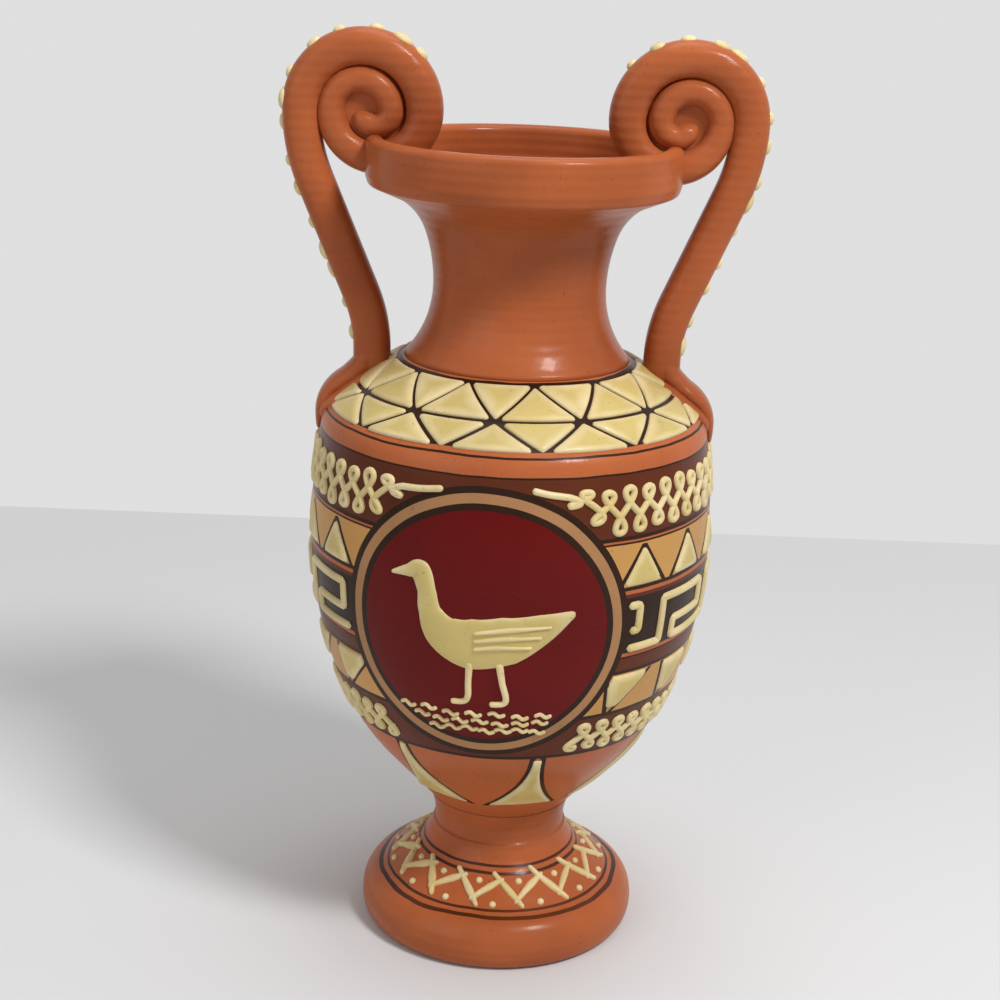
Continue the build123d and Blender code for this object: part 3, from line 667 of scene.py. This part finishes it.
def clay_material(colours):
    """Plain glazed terracotta that pools darker in clouds."""
    material, tree, place, shader = glaze("glazed_clay")
    colour = mix(tree, clay_pools(tree, place), colours.clay, colours.clay_deep)
    finish_glaze(tree, place, shader, colour, rings=0.25)
    return material


def slip_material(colours):
    """Cream slip under glaze, deeper in tone where the glaze pools in its middle and in clouds."""
    material, tree, place, shader = glaze("glazed_slip")
    share = add_node(tree, "ShaderNodeAttribute", attribute_name="pool").outputs["Fac"]
    clouds = scaled(tree, noise(tree, place, scale=70.0, detail=3.0), gain=2.2, shift=-1.0)
    pools = scaled(tree, share, gain=1.5, shift=clouds, clamp=True)
    finish_glaze(tree, place, shader, mix(tree, pools, colours.cream, colours.cream_deep))
    return material


def foot_material(colours):
    """Painted foot: clay with pairs of dark lines at the ledge and at the stem."""
    material, tree, place, shader = glaze("painted_foot")
    height = cylinder_place(tree, place)[2]
    paint = bands(tree, height, colours, FOOT_BANDS, high=50.0)
    pools = calc(tree, "MULTIPLY", clay_pools(tree, place), 0.5)
    finish_glaze(tree, place, shader, mix(tree, pools, paint, colours.clay_deep), rings=0.25)
    return material


def outline_bands(tree, turn, radius, height):
    """Places of the lines along the pads of the bands, as (distance, low, high, band).

    The distance is how far a place lies across from an edge of the nearest pad, and the line is
    where it is between low and high.
    """

    def across(band):
        """Distance round the wall from the middle of the nearest pad."""
        count = calc(tree, "DIVIDE", calc(tree, "SUBTRACT", turn, band.first), band.pitch)
        rest = calc(tree, "SUBTRACT", count, calc(tree, "ROUND", count))
        return calc(tree, "MULTIPLY", calc(tree, "MULTIPLY", rest, np.radians(band.pitch)), radius)

    def past_edge(away, fall, lean, half):
        """How far away is past a straight edge that stands half out and leans with the fall."""
        return calc(tree, "SUBTRACT", away, scaled(tree, fall, lean, half))

    band = TRIANGLES
    away = calc(tree, "ABSOLUTE", across(band))
    rise = calc(tree, "SUBTRACT", height, band.foot)
    yield past_edge(away, rise, -band.width / 2 / band.tall, band.width / 2), -0.5, 1.3, band
    band = LOWER_PANES
    away = across(band)
    drop = calc(tree, "SUBTRACT", band.top, height)
    lean = (band.toe - band.width) / band.tall
    yield past_edge(away, drop, lean, band.width / 2), -0.5, 1.3, band
    yield past_edge(away, drop, band.heel / band.tall, -band.width / 2), -1.3, 0.5, band
    band = FLARES
    away = calc(tree, "ABSOLUTE", across(band))
    fall = calc(tree, "SUBTRACT", band.foot + band.tall, height)
    square = calc(tree, "SUBTRACT", band.bow**2, calc(tree, "MULTIPLY", fall, fall))
    inner = calc(tree, "SUBTRACT", away, band.tip / 2 + band.bow)
    yield calc(tree, "ADD", inner, calc(tree, "SQRT", square)), -0.5, 1.4, band


def body_material(colours):
    """Painted body: bands by height, lines along the slip, and the medallion over them."""
    material, tree, place, shader = glaze("painted_body")
    turn, radius, height = cylinder_place(tree, place)
    paint = bands(tree, height, colours, BODY_BANDS, high=200.0)
    for edge, low, high, band in outline_bands(tree, turn, radius, height):
        near = between(tree, edge, low, high)
        mark = calc(tree, "MULTIPLY", near, between(tree, height, *band.paint))
        paint = mix(tree, mark, paint, colours.line)
    far = add_node(tree, "ShaderNodeVectorMath", operation="DISTANCE")
    feed(tree, far.inputs[0], place)
    feed(tree, far.inputs[1], MEDALLION_CENTRE * MM)
    wander = unsteady(tree, place, scale=30.0, size=1.4)
    reach = scaled(tree, far.outputs["Value"], gain=1 / MM, shift=wander)
    disc = bands(tree, reach, colours, DISC_BANDS, high=60.0)
    side = calc(tree, "ABSOLUTE", calc(tree, "SUBTRACT", turn, MEDALLION_TURN))
    front = calc(tree, "LESS_THAN", side, 90.0)
    inside = calc(tree, "MULTIPLY", calc(tree, "LESS_THAN", reach, MEDALLION_PAINT), front)
    finish_glaze(tree, place, shader, mix(tree, inside, paint, disc))
    return material


def shared_material(name, maker):
    """Material made once and shared by the pieces that ask for it."""
    return bpy.data.materials.get(name) or maker(bpy.context.scene.jar_colours)


def bare_clay():
    """The shared material of plain glazed clay."""
    return shared_material("glazed_clay", clay_material)


def put_slip(node, pieces):
    """Put piped slip into one mesh, with the share of pooled glaze at its points."""
    material = shared_material("glazed_slip", slip_material)
    piece = put_piece(node, pieces, material)
    share = piece.data.attributes.new("pool", "FLOAT", "POINT")
    share.data.foreach_set("value", np.concatenate([pool for _, _, pool in pieces]))


def slip_sizes(context):
    """Height and half width of piped slip in millimetres."""
    slip = context.scene.jar_slip
    return slip.height / MM, slip.trail / MM / 2


# Clay pieces


class JAR_OT_foot(bpy.types.Operator):
    """Turn the hollow foot with its rounded toe"""

    bl_idname = "jar.foot"
    bl_label = "Foot"

    def execute(self, context):
        recess, stem_foot = 33, 34
        rise = context.scene.jar_clay.toe_rise / MM
        ring = rounded([(35, 10), (37, 0), (42.6, 0)], radii=[2.5])
        toe = curve_through([
            (42.6, 0), (45.4, 1.2), (46.7, 4.4), (46.8, 8.2), (45.7, 12 + rise), (43, 15.3),
            FOOT_LEDGE,
        ], count=50)
        top = foot_top_outline()
        stem = curve_through(
            [(STEM_RADIUS, stem_foot), (22.3, 38.5), (23.2, 42.5), (24.1, STEM_TOP)], count=14
        )
        profile = np.concatenate((
            [(0, recess), (15.2, recess)], ring, toe[1:-1], top[top[:, 1] < stem_foot], stem,
            [(0, STEM_TOP)],
        ))
        material = foot_material(context.scene.jar_colours)
        put_piece("foot", [lathe(profile, False)], material)
        return {"FINISHED"}


class JAR_OT_body(bpy.types.Operator):
    """Turn the hollow body with its floor, shoulder and seat for the neck"""

    bl_idname = "jar.body"
    bl_label = "Body"

    def execute(self, context):
        low, high, thinned = 53.2, 192.5, 3
        outer = BODY.outline
        inner = (outer - CLAY_WALL * BODY.normal)[::-1]
        inner = inner[(inner[:, 1] > low) & (inner[:, 1] < high)][::thinned]
        seat = [NECK_SEAT, (NECK_SEAT[0], 195.0)]
        profile = np.concatenate(([(0, STEM_TOP)], outer, seat, inner, [(0, FLOOR_TOP)]))
        material = body_material(context.scene.jar_colours)
        mesh = put_piece("body", [lathe(profile, False)], material).data
        mesh.materials.append(bare_clay())
        inside = np.zeros(len(mesh.polygons), np.int32)
        inside[(len(outer) + 1) * ROUND : -2 * ROUND] = 1
        inside[-ROUND:] = 1
        mesh.polygons.foreach_set("material_index", inside)
        return {"FINISHED"}


class JAR_OT_neck(bpy.types.Operator):
    """Turn the neck, the flared underside and the collar with its rounded lip"""

    bl_idname = "jar.neck"
    bl_label = "Neck and mouth"

    def execute(self, context):
        lip = context.scene.jar_clay.lip_round / MM
        throat = (37.8, 251.5)
        foot = arc_run(NECK_WAIST, [(-33.9, 0, 42.6)])[::-1]
        flare = arc_run(NECK_WAIST, [(-50, 0, -20), (-19, -20, -63)])
        collar = rounded([
            flare[-1], (48.9, 251.9), (49.8, 254.9), (49.8, 266.6), (43.8, 266.6), (43.8, 254.6),
            throat,
        ], radii=[2.0, 2.0, lip, lip, 4.0])
        bore = curve_through(
            [throat, (30.6, 245.6), (26.3, 239.2), (23.1, 220.7), (25.4, 208), NECK_SEAT], count=40
        )
        profile = np.concatenate((foot, flare[1:], collar[1:-1], bore))
        put_piece("neck", [lathe(profile, True)], bare_clay())
        return {"FINISHED"}


def strap_line():
    """Middle line of the right handle from the shoulder to the eye of its volute.

    Two bends with a straight run between them lead up to four half circles. The half circles
    meet on the level of the volute's centre, at distances that shrink towards the eye.
    """
    foot = np.linspace((STRAP_FOOT[0], 189), STRAP_FOOT, 5)[:-1]
    lower = arc_run(STRAP_FOOT, [(-47, 0, -STRAP_LEAN)])
    upper = arc_run(lower[-1] + STRAP_RUN, [(58, -STRAP_LEAN, 0)])
    rows = [foot, lower, upper[:-1]]
    places = (19.2, 19.2, 9.9, 8.8, 0.8)
    angle = np.linspace(0, np.pi, 60)[:, None]
    for number, (start, end) in enumerate(zip(places, places[1:])):
        sign = 1 if number % 2 == 0 else -1
        middle = VOLUTE + (sign * (start - end) / 2, 0)
        rows.append(middle + sign * (start + end) / 2 * np.hstack((np.cos(angle), np.sin(angle))))
    return even(np.concatenate(rows), step=0.8)


def strap(line, half, depth, square, side, count=40):
    """Strap along a line: its section is a super-ellipse, half across the line and depth along Y.

    Both ends close in a quarter ellipse.
    """
    slope = unit(np.gradient(line, axis=0))
    across = np.stack((slope[:, 1], -slope[:, 0]), 1)
    end = end_caps(lengths_along(line), half + 0.2, 0.002)
    angle = np.linspace(0, 2 * np.pi, count, endpoint=False)
    c = np.sign(np.cos(angle)) * np.abs(np.cos(angle)) ** (2 / square)
    s = np.sign(np.sin(angle)) * np.abs(np.sin(angle)) ** (2 / square)
    wide = (half * end)[:, None] * c
    x = line[:, :1] + across[:, :1] * wide
    z = line[:, 1:] + across[:, 1:] * wide
    y = (depth * end)[:, None] * s
    return tube(np.stack((side * x, y, z), -1))


def coil_core(side):
    """Web between the turns of a volute: rings about its axis whose radius and place along Y are
    radius times cos a to the power fullness, and depth times sin a."""
    radius, depth, fullness = 13.5, 1.2, 0.3
    a = np.linspace(-np.pi / 2, np.pi / 2, 16)[1:-1, None]
    turn = np.linspace(0, 2 * np.pi, 48, endpoint=False)
    reach = radius * np.cos(a) ** fullness
    x = side * (VOLUTE[0] + reach * np.cos(turn))
    z = VOLUTE[1] + reach * np.sin(turn)
    return tube(np.stack((x, np.broadcast_to(depth * np.sin(a), x.shape), z), -1))


class JAR_OT_handles(bpy.types.Operator):
    """Coil the two handles over the lip and smooth their tails on to the shoulder"""

    bl_idname = "jar.handles"
    bl_label = "Handles"

    def execute(self, context):
        square, tail_square = context.scene.jar_clay.strap_square, 2.2
        line = strap_line()
        half = taper(len(line), (0, 0.62, 0.74, 0.82, 0.94, 1), (6, 5.9, 5.2, 4.3, 4.2, 3.4))
        depth = taper(len(line), (0, 0.62, 0.82, 0.94, 1), (6, 6, 5.6, 5.3, 4.8))
        tail = even(curve_through([
            (46.8, 203), (48.8, 195), (53.2, 190), (58.4, 186.2), (61.5, 182), (62.9, 176.6),
            (63.4, 171),
        ], count=80), step=0.7)
        places = (0, 0.2, 0.5, 0.8, 1)
        tail_half = taper(len(tail), places, (3.4, 3.9, 3.2, 2.3, 1.0))
        tail_depth = taper(len(tail), places, (5.0, 6.2, 7.2, 6.4, 3.0))
        smear = curve_through([
            (0, 194.5), (7.5, 191.5), (10.5, 186.5), (10.5, 181.5), (8, 178), (4, 175.6),
            (0, 174.8),
        ], count=60)
        smear = np.concatenate((smear, (smear * (-1, 1))[-2:0:-1]))
        along = BODY.at_height(smear[:, 1])
        around = np.degrees(smear[:, 0] / BODY.radius(along))
        for name, side in HANDLE_SIDES:
            put_piece("handle_" + name, [
                strap(line, half, depth, square, side),
                strap(tail, tail_half, tail_depth, tail_square, side),
                slip_pad(BODY, 90 * side + around, along, height=2.0, rings=12, flat=3.2),
                coil_core(side),
            ], bare_clay())
        return {"FINISHED"}


# Slip pieces


class JAR_OT_handle_dots(bpy.types.Operator):
    """Drop dots of slip along the outer edge of each handle"""

    bl_idname = "jar.handle_dots"
    bl_label = "Handle dots"

    def execute(self, context):
        count, reach, sunk, radius, stretch, height = 15, 25.2, 0.35, 2.2, 1.2, 1.5
        arch = np.radians(np.linspace(150, 0, 60))[:, None]
        top = VOLUTE + reach * np.hstack((np.cos(arch), np.sin(arch)))
        bend = arc_run(top[-1], [(64, 0, -STRAP_LEAN)])
        foot = arc_run(bend[-1] - STRAP_RUN, [(-41, -STRAP_LEAN, 0)])
        line = even(np.concatenate((top, bend[1:], foot)), step=0.5)
        slope = unit(np.gradient(line, axis=0))
        for (name, side), seed in zip(HANDLE_SIDES, (3, 11)):
            share = (np.arange(count) + 0.5 + wobble(count, size=0.22, seed=seed)) / count
            place = (share * (len(line) - 1)).astype(int)
            sizes = radius + wobble(count, size=0.8, seed=seed + 20)
            shifts = wobble(count, size=1.6, seed=seed + 40)
            dots = []
            for here, size, across in zip(place, sizes, shifts):
                outward = np.array((-slope[here, 1] * side, 0, slope[here, 0]))
                along = np.array((slope[here, 0] * side, 0, slope[here, 1]))
                centre = np.array((line[here, 0] * side, across, line[here, 1])) - sunk * outward
                dots.append(slip_dot(centre, outward, along * stretch, size, height))
            put_slip("handle_dots_" + name, dots)
        return {"FINISHED"}


class JAR_OT_shoulder_panes(bpy.types.Operator):
    """Puff two rows of triangles round the shoulder"""

    bl_idname = "jar.shoulder_panes"
    bl_label = "Shoulder panes"

    def execute(self, context):
        height, _ = slip_sizes(context)
        first, pitch, half, gap = 8.5, 30.0, 13.35, 0.45
        inner, middle, outer = 38, 51, 60
        rows = ((middle, inner), (middle, outer), (inner, middle), (outer, middle))
        pads = []
        for number in range(48):
            base, apex = rows[number % 4]
            place = first + pitch * (number // 4) + (0 if number % 4 < 2 else pitch / 2)
            flat = np.array(((-half, base), (half, base), (0, apex)))
            sides = np.linalg.norm(np.roll(flat, -1, 0) - np.roll(flat, 1, 0), axis=1)
            heart = sides @ flat / sides.sum()
            keep = 1 - gap * sides.sum() / (2 * half * abs(apex - base))
            uneven = wobble(3, size=0.03, seed=number * 3)[:, None]
            ring = rounded_ring(heart + (flat - heart) * (keep + uneven), radius=0.6)
            turn = place + np.degrees(ring[:, 0] / middle)
            pads.append(slip_pad(BODY, turn, BODY.at_radius(ring[:, 1]), height, flat=7.0))
        put_slip("shoulder_panes", pads)
        return {"FINISHED"}


def band_pads(band, corners, height):
    """Puffed pads of a band, with corners (across, height) in millimetres about each place.

    What would lie on the medallion is pushed back round the wall to its edge.
    """
    ring = rounded_ring(corners, radius=1.0)
    length = BODY.at_height(ring[:, 1])
    radius = BODY.radius(length)
    pads = []
    for number in range(band.count):
        middle = band.first + band.pitch * number
        turn = middle + np.degrees(ring[:, 0] / radius)
        over = np.maximum(MEDALLION_CLEAR - medallion_reach(turn, length), 0)
        turn = turn + np.degrees(over / radius) * (1 if middle < 180 else -1)
        pads.append(slip_pad(BODY, turn, length, height))
    return pads


class JAR_OT_bands(bpy.types.Operator):
    """Puff the triangles above the belly, the slanted panes below it and the flares at its base"""

    bl_idname = "jar.bands"
    bl_label = "Triangles, panes and flares"

    def execute(self, context):
        height, _ = slip_sizes(context)
        band = TRIANGLES
        inset, sag = 0.6, 0.8
        half = band.width / 2 - inset
        corners = [(-half, band.foot), (half, band.foot), (0, band.foot + band.tall)]
        put_slip("upper_triangles", band_pads(band, corners, height))
        band = LOWER_PANES
        half, foot = band.width / 2, band.top - band.tall
        toe, heel = band.toe - half, band.heel - half
        corners = [(-half, band.top), (half, band.top), (toe, foot), (heel, foot)]
        put_slip("lower_panes", band_pads(band, corners, height))
        band = FLARES
        fall = np.linspace(0, band.tall, 40)
        reach = band.tip / 2 + band.bow - np.sqrt(band.bow**2 - fall**2)
        side = np.stack((reach, band.foot + band.tall - fall), 1)
        across = np.linspace(band.spread / 2, -band.spread / 2, 24)[1:-1]
        base = np.stack((across, band.foot + sag * (1 - (2 * across / band.spread) ** 2)), 1)
        ring = even(np.concatenate((side, base, (side * (-1, 1))[::-1], side[:1])), PAD_STEP)[:-1]
        length = BODY.at_height(ring[:, 1])
        turn = band.first + np.degrees(ring[:, 0] / BODY.radius(length))
        turns = [turn + band.pitch * number for number in range(band.count)]
        put_slip("base_flares", [slip_pad(BODY, turn, length, height) for turn in turns])
        return {"FINISHED"}


class JAR_OT_meander(bpy.types.Operator):
    """Pipe the keys of the meander"""

    bl_idname = "jar.meander"
    bl_label = "Meander"

    def execute(self, context):
        height, half = slip_sizes(context)
        first, pitch, wall = 58, 30, BELLY[0]
        top, bottom, middle, wide, bar = 132.942, 118.442, 124.442, 12, 5.5
        bend, fuller, shortest = 0.9, 0.25, 6
        key = np.array((
            (-wide, bottom), (-wide, top), (wide, top), (wide, middle), (-bar, middle),
            (-bar, bottom),
        ))
        places = wall * np.radians(pitch * np.arange(-1, 11))
        corners = np.concatenate([key + (place, 0) for place in places])
        path = even(rounded(corners, [bend] * (len(corners) - 2), count=5), step=0.7)
        length = BODY.at_height(path[:, 1])
        turn = first + np.degrees(path[:, 0] / wall)
        clear = medallion_reach(turn, length) > MEDALLION_CLEAR
        change = np.diff(np.concatenate(([0], clear, [0])).astype(int))
        starts, ends = (np.flatnonzero(change == step) for step in (1, -1))
        put_slip("meander", [
            slip_stroke(BODY, turn[a:b], length[a:b], half + fuller, height)
            for a, b in zip(starts, ends) if b - a > shortest
        ])
        return {"FINISHED"}


def loop_trail(first, last, low, high, pitch, seed):
    """Trail of standing loops between two turns.

    Across it goes on at a steady rate less a sine of twice its phase, and up and down it is a
    cosine of the phase, so each crest and trough is a loop. Low and high are functions of the
    turn. It starts on its way down and ends on its way up.
    """
    per_loop, sway = 44, 0.34
    loops = np.floor((last - first) / pitch)
    phase = np.linspace(0.5 * np.pi, 2 * np.pi * loops - 0.5 * np.pi, int(loops * per_loop))
    steady = first + pitch * phase / (2 * np.pi)
    across = steady - sway * pitch * np.sin(2 * phase)
    swell = 0.95 + 0.07 * np.sin(phase * 0.37 + seed) + 0.05 * np.sin(phase * 0.83 + seed)
    bottom, top = low(steady), high(steady)
    return np.stack((across, (bottom + top) / 2 + (top - bottom) / 2 * np.cos(phase) * swell), 1)


class JAR_OT_trails(bpy.types.Operator):
    """Pipe the two trails of loops that end at the medallion"""

    bl_idname = "jar.trails"
    bl_label = "Loop trails"

    def execute(self, context):
        height, half = slip_sizes(context)
        pitch = np.degrees(context.scene.jar_slip.loop_pitch)
        upper = loop_trail(
            first=14.0, last=332.0, pitch=pitch, seed=1.0,
            low=lambda turn: np.maximum(157.2, MEDALLION_HEIGHT + ring_rise(turn, radius=65.0)),
            high=lambda turn: np.full_like(turn, 170.6),
        )
        lead = curve_through([(5.5, 171.4), (10.0, 170.2), upper[0]], count=30)
        tail = curve_through([upper[-1], (335, 169.2), (341.5, 170.2)], count=30)
        upper = np.concatenate((lead[:-1], upper, tail[1:]))
        lower = loop_trail(
            first=20.0, last=326.0, pitch=pitch, seed=2.0,
            low=lambda turn: np.full_like(turn, 82.4),
            high=lambda turn: np.minimum(92.2, MEDALLION_HEIGHT - ring_rise(turn, radius=54.0)),
        )
        for node, path in (("upper_loops", upper), ("lower_loops", lower)):
            length = BODY.at_height(path[:, 1])
            put_slip(node, [slip_stroke(BODY, path[:, 0], length, half, height, sides=7)])
        return {"FINISHED"}


class JAR_OT_foot_sprig(bpy.types.Operator):
    """Pipe the zigzag sprig and the dots on the foot's top"""

    bl_idname = "jar.foot_sprig"
    bl_label = "Foot sprig and dots"

    def execute(self, context):
        height, _ = slip_sizes(context)
        bends = context.scene.jar_slip.sprig_bends
        first, outside, inside, count = 11.5, 34.8, 29.6, 30
        pitch = 360 / bends
        shake = wobble(5 * bends, size=1.0, seed=4).reshape(-1, 5)
        strokes, dots = [], []
        for number in range(bends):
            here, then = shake[number], shake[(number + 1) % bends]
            outer = (outside + here[1]) * sin_cos(1.5 * here[0])
            inner = (inside + here[3]) * sin_cos((0.64 + 0.1 * here[2]) * pitch)
            after = (outside + then[1]) * sin_cos(pitch + 1.5 * then[0])
            half = taper(count, (0, 0.3, 0.6, 1), (0.8, 1.0, 1.4 + 0.3 * here[4], 0.7))
            for start, end, back, on in (
                (outer, inner, 1.4, 2.0 + here[4]), (inner, after, 3.4 + here[2], 2.6 - here[3]),
            ):
                ahead = unit(end - start)
                path = np.linspace(start - back * ahead, end + on * ahead, count)
                turn = first + pitch * number + np.degrees(np.arctan2(path[:, 0], path[:, 1]))
                length = FOOT.at_radius(np.linalg.norm(path, axis=1))
                strokes.append(slip_stroke(FOOT, turn, length, half, height, sides=7))
            for place, radius in ((0.5, 36.2), (0.12, 29.4)):
                turn = first + pitch * (number + place) + 1.2 * np.sin(number * 2.4)
                length = FOOT.at_radius(radius)
                centre = FOOT.point(turn, length, 0.0)
                outward = FOOT.point(turn, length, 1.0) - centre
                along = unit(np.cross(outward, (0, 0, 1.0)))
                dot = slip_dot(centre, outward, along, radius=1.2, height=height, sides=12, rings=5)
                dots.append(dot)
        put_slip("foot_sprig", strokes)
        put_slip("foot_dots", dots)
        return {"FINISHED"}


def medallion_stroke(points, half, height, count=70):
    """Stroke through points (across, up) about the medallion's centre, half wide at each."""
    path = curve_through(points, count)
    half = taper(count, np.linspace(0, 1, len(points)), half)
    length = BODY.at_height(MEDALLION_HEIGHT + path[:, 1])
    turn = MEDALLION_TURN + np.degrees(path[:, 0] / BODY.radius(length))
    return slip_stroke(BODY, turn, length, half, height, sides=15)


class JAR_OT_medallion(bpy.types.Operator):
    """Pipe the standing water bird and the ripples under it"""

    bl_idname = "jar.medallion"
    bl_label = "Medallion bird"

    def execute(self, context):
        height, _ = slip_sizes(context)
        bird = [medallion_stroke(
            [(29, 7.5), (20, 3), (9, -1.5), (-3, -3.5), (-11.5, -0.5), (-15.8, 6), (-17, 12.5),
             (-19.3, 18.2), (-23.5, 17.6), (-29, 16.2)],
            [0.8, 4.6, 8, 8.6, 6.4, 3.7, 3.0, 3.5, 1.9, 0.5], height, count=140,
        )]
        for leg in (
            [(-3, -9), (-3.4, -16), (-4, -23), (-9, -24.3)],
            [(6, -9), (7, -16), (8, -23), (3, -24.3)],
        ):
            bird.append(medallion_stroke(leg, [1.2, 1.0, 1.0, 0.9], height))
        for k in range(3):
            feather = [(22 - 3 * k, 3.6 - 3.4 * k), (9 - 2 * k, 2.4 - 3 * k), (-2, 0.6 - 2.6 * k)]
            bird.append(medallion_stroke(feather, [0.5, 1, 0.7], height * 1.55, count=40))
        put_slip("medallion_bird", bird)
        ripples, per_row = [], 7
        for number in range(per_row * context.scene.jar_slip.ripple_rows):
            row, place = divmod(number, per_row)
            x = (place - 3) * (7.2 - row) + 2 * row - 2
            y = -28.6 - 2.9 * row + 0.5 * np.sin(number * 2.1)
            ripple = [(x - 2.8, y), (x - 0.9, y + 0.8), (x + 0.9, y - 0.5), (x + 2.8, y + 0.3)]
            ripples.append(medallion_stroke(ripple, [0.65] * 4, height * 0.7, count=24))
        put_slip("ripples", ripples)
        return {"FINISHED"}


# Stage: places in metres

STUDIO_LIGHT = 0.34
STUDIO_PALE = 0.74
LAMPS = (
    ("key", (0.60, -0.62, 1.15), 0.26, 12.0),
    ("fill", (-0.9, -0.9, 0.7), 0.9, 2.6),
    ("top", (0.05, 0.12, 1.4), 0.7, 5.0),
)
LAMP_AIM = (0, 0, 0.15)
CAMERA_SPOT = (0.0, -0.5794, 0.3283)
CAMERA_PITCH, CAMERA_YAW, CAMERA_ROLL = 0.2946, 0.00302, 0.03977


def facing(ahead, roll, spot):
    """Placing of a camera or lamp that looks ahead, rolled about that line, at a spot."""
    level = Vector(ahead).to_track_quat("-Z", "Y").to_matrix().to_4x4()
    return Matrix.Translation(spot) @ level @ Matrix.Rotation(roll, 4, "Z")


def sheet_material():
    """Matt pale sheet that fades to an even tone for the camera, 0.3 to 0.9 m from the jar."""
    material = bpy.data.materials.new("pale_sheet")
    material.use_nodes = True
    tree = material.node_tree
    matt = tree.nodes["Principled BSDF"]
    feed_all(tree, matt, Roughness=0.9, Base_Color=(0.71, 0.71, 0.715))
    far = add_node(tree, "ShaderNodeVectorMath", operation="LENGTH")
    feed(tree, far.inputs[0], add_node(tree, "ShaderNodeTexCoord").outputs["Object"])
    fade = add_node(tree, "ShaderNodeMapRange", interpolation_type="SMOOTHSTEP")
    feed_all(tree, fade, Value=far.outputs["Value"], From_Min=0.3, From_Max=0.9)
    camera_ray = add_node(tree, "ShaderNodeLightPath").outputs["Is Camera Ray"]
    pale = feed_all(tree, add_node(tree, "ShaderNodeEmission"), Color=(STUDIO_PALE,) * 3)
    both = add_node(tree, "ShaderNodeMixShader")
    feed(tree, both.inputs[0], calc(tree, "MULTIPLY", fade.outputs["Result"], camera_ray))
    feed(tree, both.inputs[1], matt.outputs["BSDF"])
    feed(tree, both.inputs[2], pale.outputs["Emission"])
    feed_all(tree, tree.nodes["Material Output"], Surface=both.outputs["Shader"])
    return material


def studio_world():
    """White surroundings that light the jar plainly, and look pale where they are seen."""
    world = bpy.data.worlds.new("studio")
    world.use_nodes = True
    tree = world.node_tree
    ray = add_node(tree, "ShaderNodeLightPath").outputs
    mirrored = calc(tree, "MAXIMUM", ray["Is Glossy Ray"], ray["Is Transmission Ray"])
    seen = calc(tree, "MAXIMUM", ray["Is Camera Ray"], mirrored)
    strength = calc(tree, "MULTIPLY_ADD", seen, STUDIO_PALE - STUDIO_LIGHT, STUDIO_LIGHT)
    feed_all(tree, tree.nodes["Background"], Color=(1, 1, 1), Strength=strength)
    return world


class JAR_OT_stage(bpy.types.Operator):
    """Lay a pale sheet under the jar, and set the studio's light and the camera"""

    bl_idname = "jar.stage"
    bl_label = "Stage"

    def execute(self, context):
        scene = context.scene
        side, behind, level = 4.0, 0.43, -0.05 * MM
        corners = [(-side, -side), (side, -side), (side, behind), (-side, behind)]
        mesh = bpy.data.meshes.new("sheet")
        mesh.from_pydata([(x, y, level) for x, y in corners], [], [(0, 1, 2, 3)])
        mesh.materials.append(sheet_material())
        sheet = put_object("sheet", mesh)
        sheet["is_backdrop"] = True
        scene.world = studio_world()
        for name, spot, size, power in LAMPS:
            lamp = bpy.data.lights.new(name, "AREA")
            lamp.size = size
            lamp.energy = power
            ahead = unit(np.array(LAMP_AIM) - spot)
            put_object(name, lamp).matrix_world = facing(ahead, 0.0, spot)
        camera = bpy.data.cameras.new("camera")
        camera.lens = 66.07
        camera.sensor_width = 36.0
        camera.shift_x = -0.017
        camera.shift_y = -0.0105
        plan = np.cos(CAMERA_PITCH)
        ahead = np.array((
            np.sin(CAMERA_YAW) * plan, np.cos(CAMERA_YAW) * plan, -np.sin(CAMERA_PITCH),
        ))
        scene.camera = put_object("camera", camera)
        scene.camera.matrix_world = facing(ahead, CAMERA_ROLL, CAMERA_SPOT)
        scene.view_settings.view_transform = "Standard"
        return {"FINISHED"}


OPERATORS = (
    JAR_OT_foot,
    JAR_OT_body,
    JAR_OT_neck,
    JAR_OT_handles,
    JAR_OT_handle_dots,
    JAR_OT_shoulder_panes,
    JAR_OT_bands,
    JAR_OT_meander,
    JAR_OT_trails,
    JAR_OT_foot_sprig,
    JAR_OT_medallion,
    JAR_OT_stage,
)


class JAR_PT_sidebar(bpy.types.Panel):
    """Pieces of the jar and their settings"""

    bl_idname = "JAR_PT_sidebar"
    bl_label = "Volute Jar"
    bl_space_type = "VIEW_3D"
    bl_region_type = "UI"
    bl_category = "Jar"

    def draw(self, context):
        layout = self.layout
        for group in (context.scene.jar_clay, context.scene.jar_slip, context.scene.jar_colours):
            column = layout.column(align=True)
            for key in group.__annotations__:
                column.prop(group, key)
        for operator in OPERATORS:
            layout.operator(operator.bl_idname)


CLASSES = (JarClay, JarSlip, JarColours, *OPERATORS, JAR_PT_sidebar)


def register():
    """Register the settings, the operators and the panel."""
    for item in CLASSES:
        bpy.utils.register_class(item)
    bpy.types.Scene.jar_clay = PointerProperty(type=JarClay)
    bpy.types.Scene.jar_slip = PointerProperty(type=JarSlip)
    bpy.types.Scene.jar_colours = PointerProperty(type=JarColours)


def unregister():
    """Remove them again."""
    del bpy.types.Scene.jar_colours
    del bpy.types.Scene.jar_slip
    del bpy.types.Scene.jar_clay
    for item in reversed(CLASSES):
        bpy.utils.unregister_class(item)


def main():
    """Build every piece in order."""
    register()
    for operator in OPERATORS:
        group, name = operator.bl_idname.split(".")
        getattr(getattr(bpy.ops, group), name)()
    sizes = {"cad": CAD_BOX, "visual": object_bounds()}
    plain = {key: [list(map(float, corner)) for corner in box] for key, box in sizes.items()}


if __name__ == "__main__":
    main()
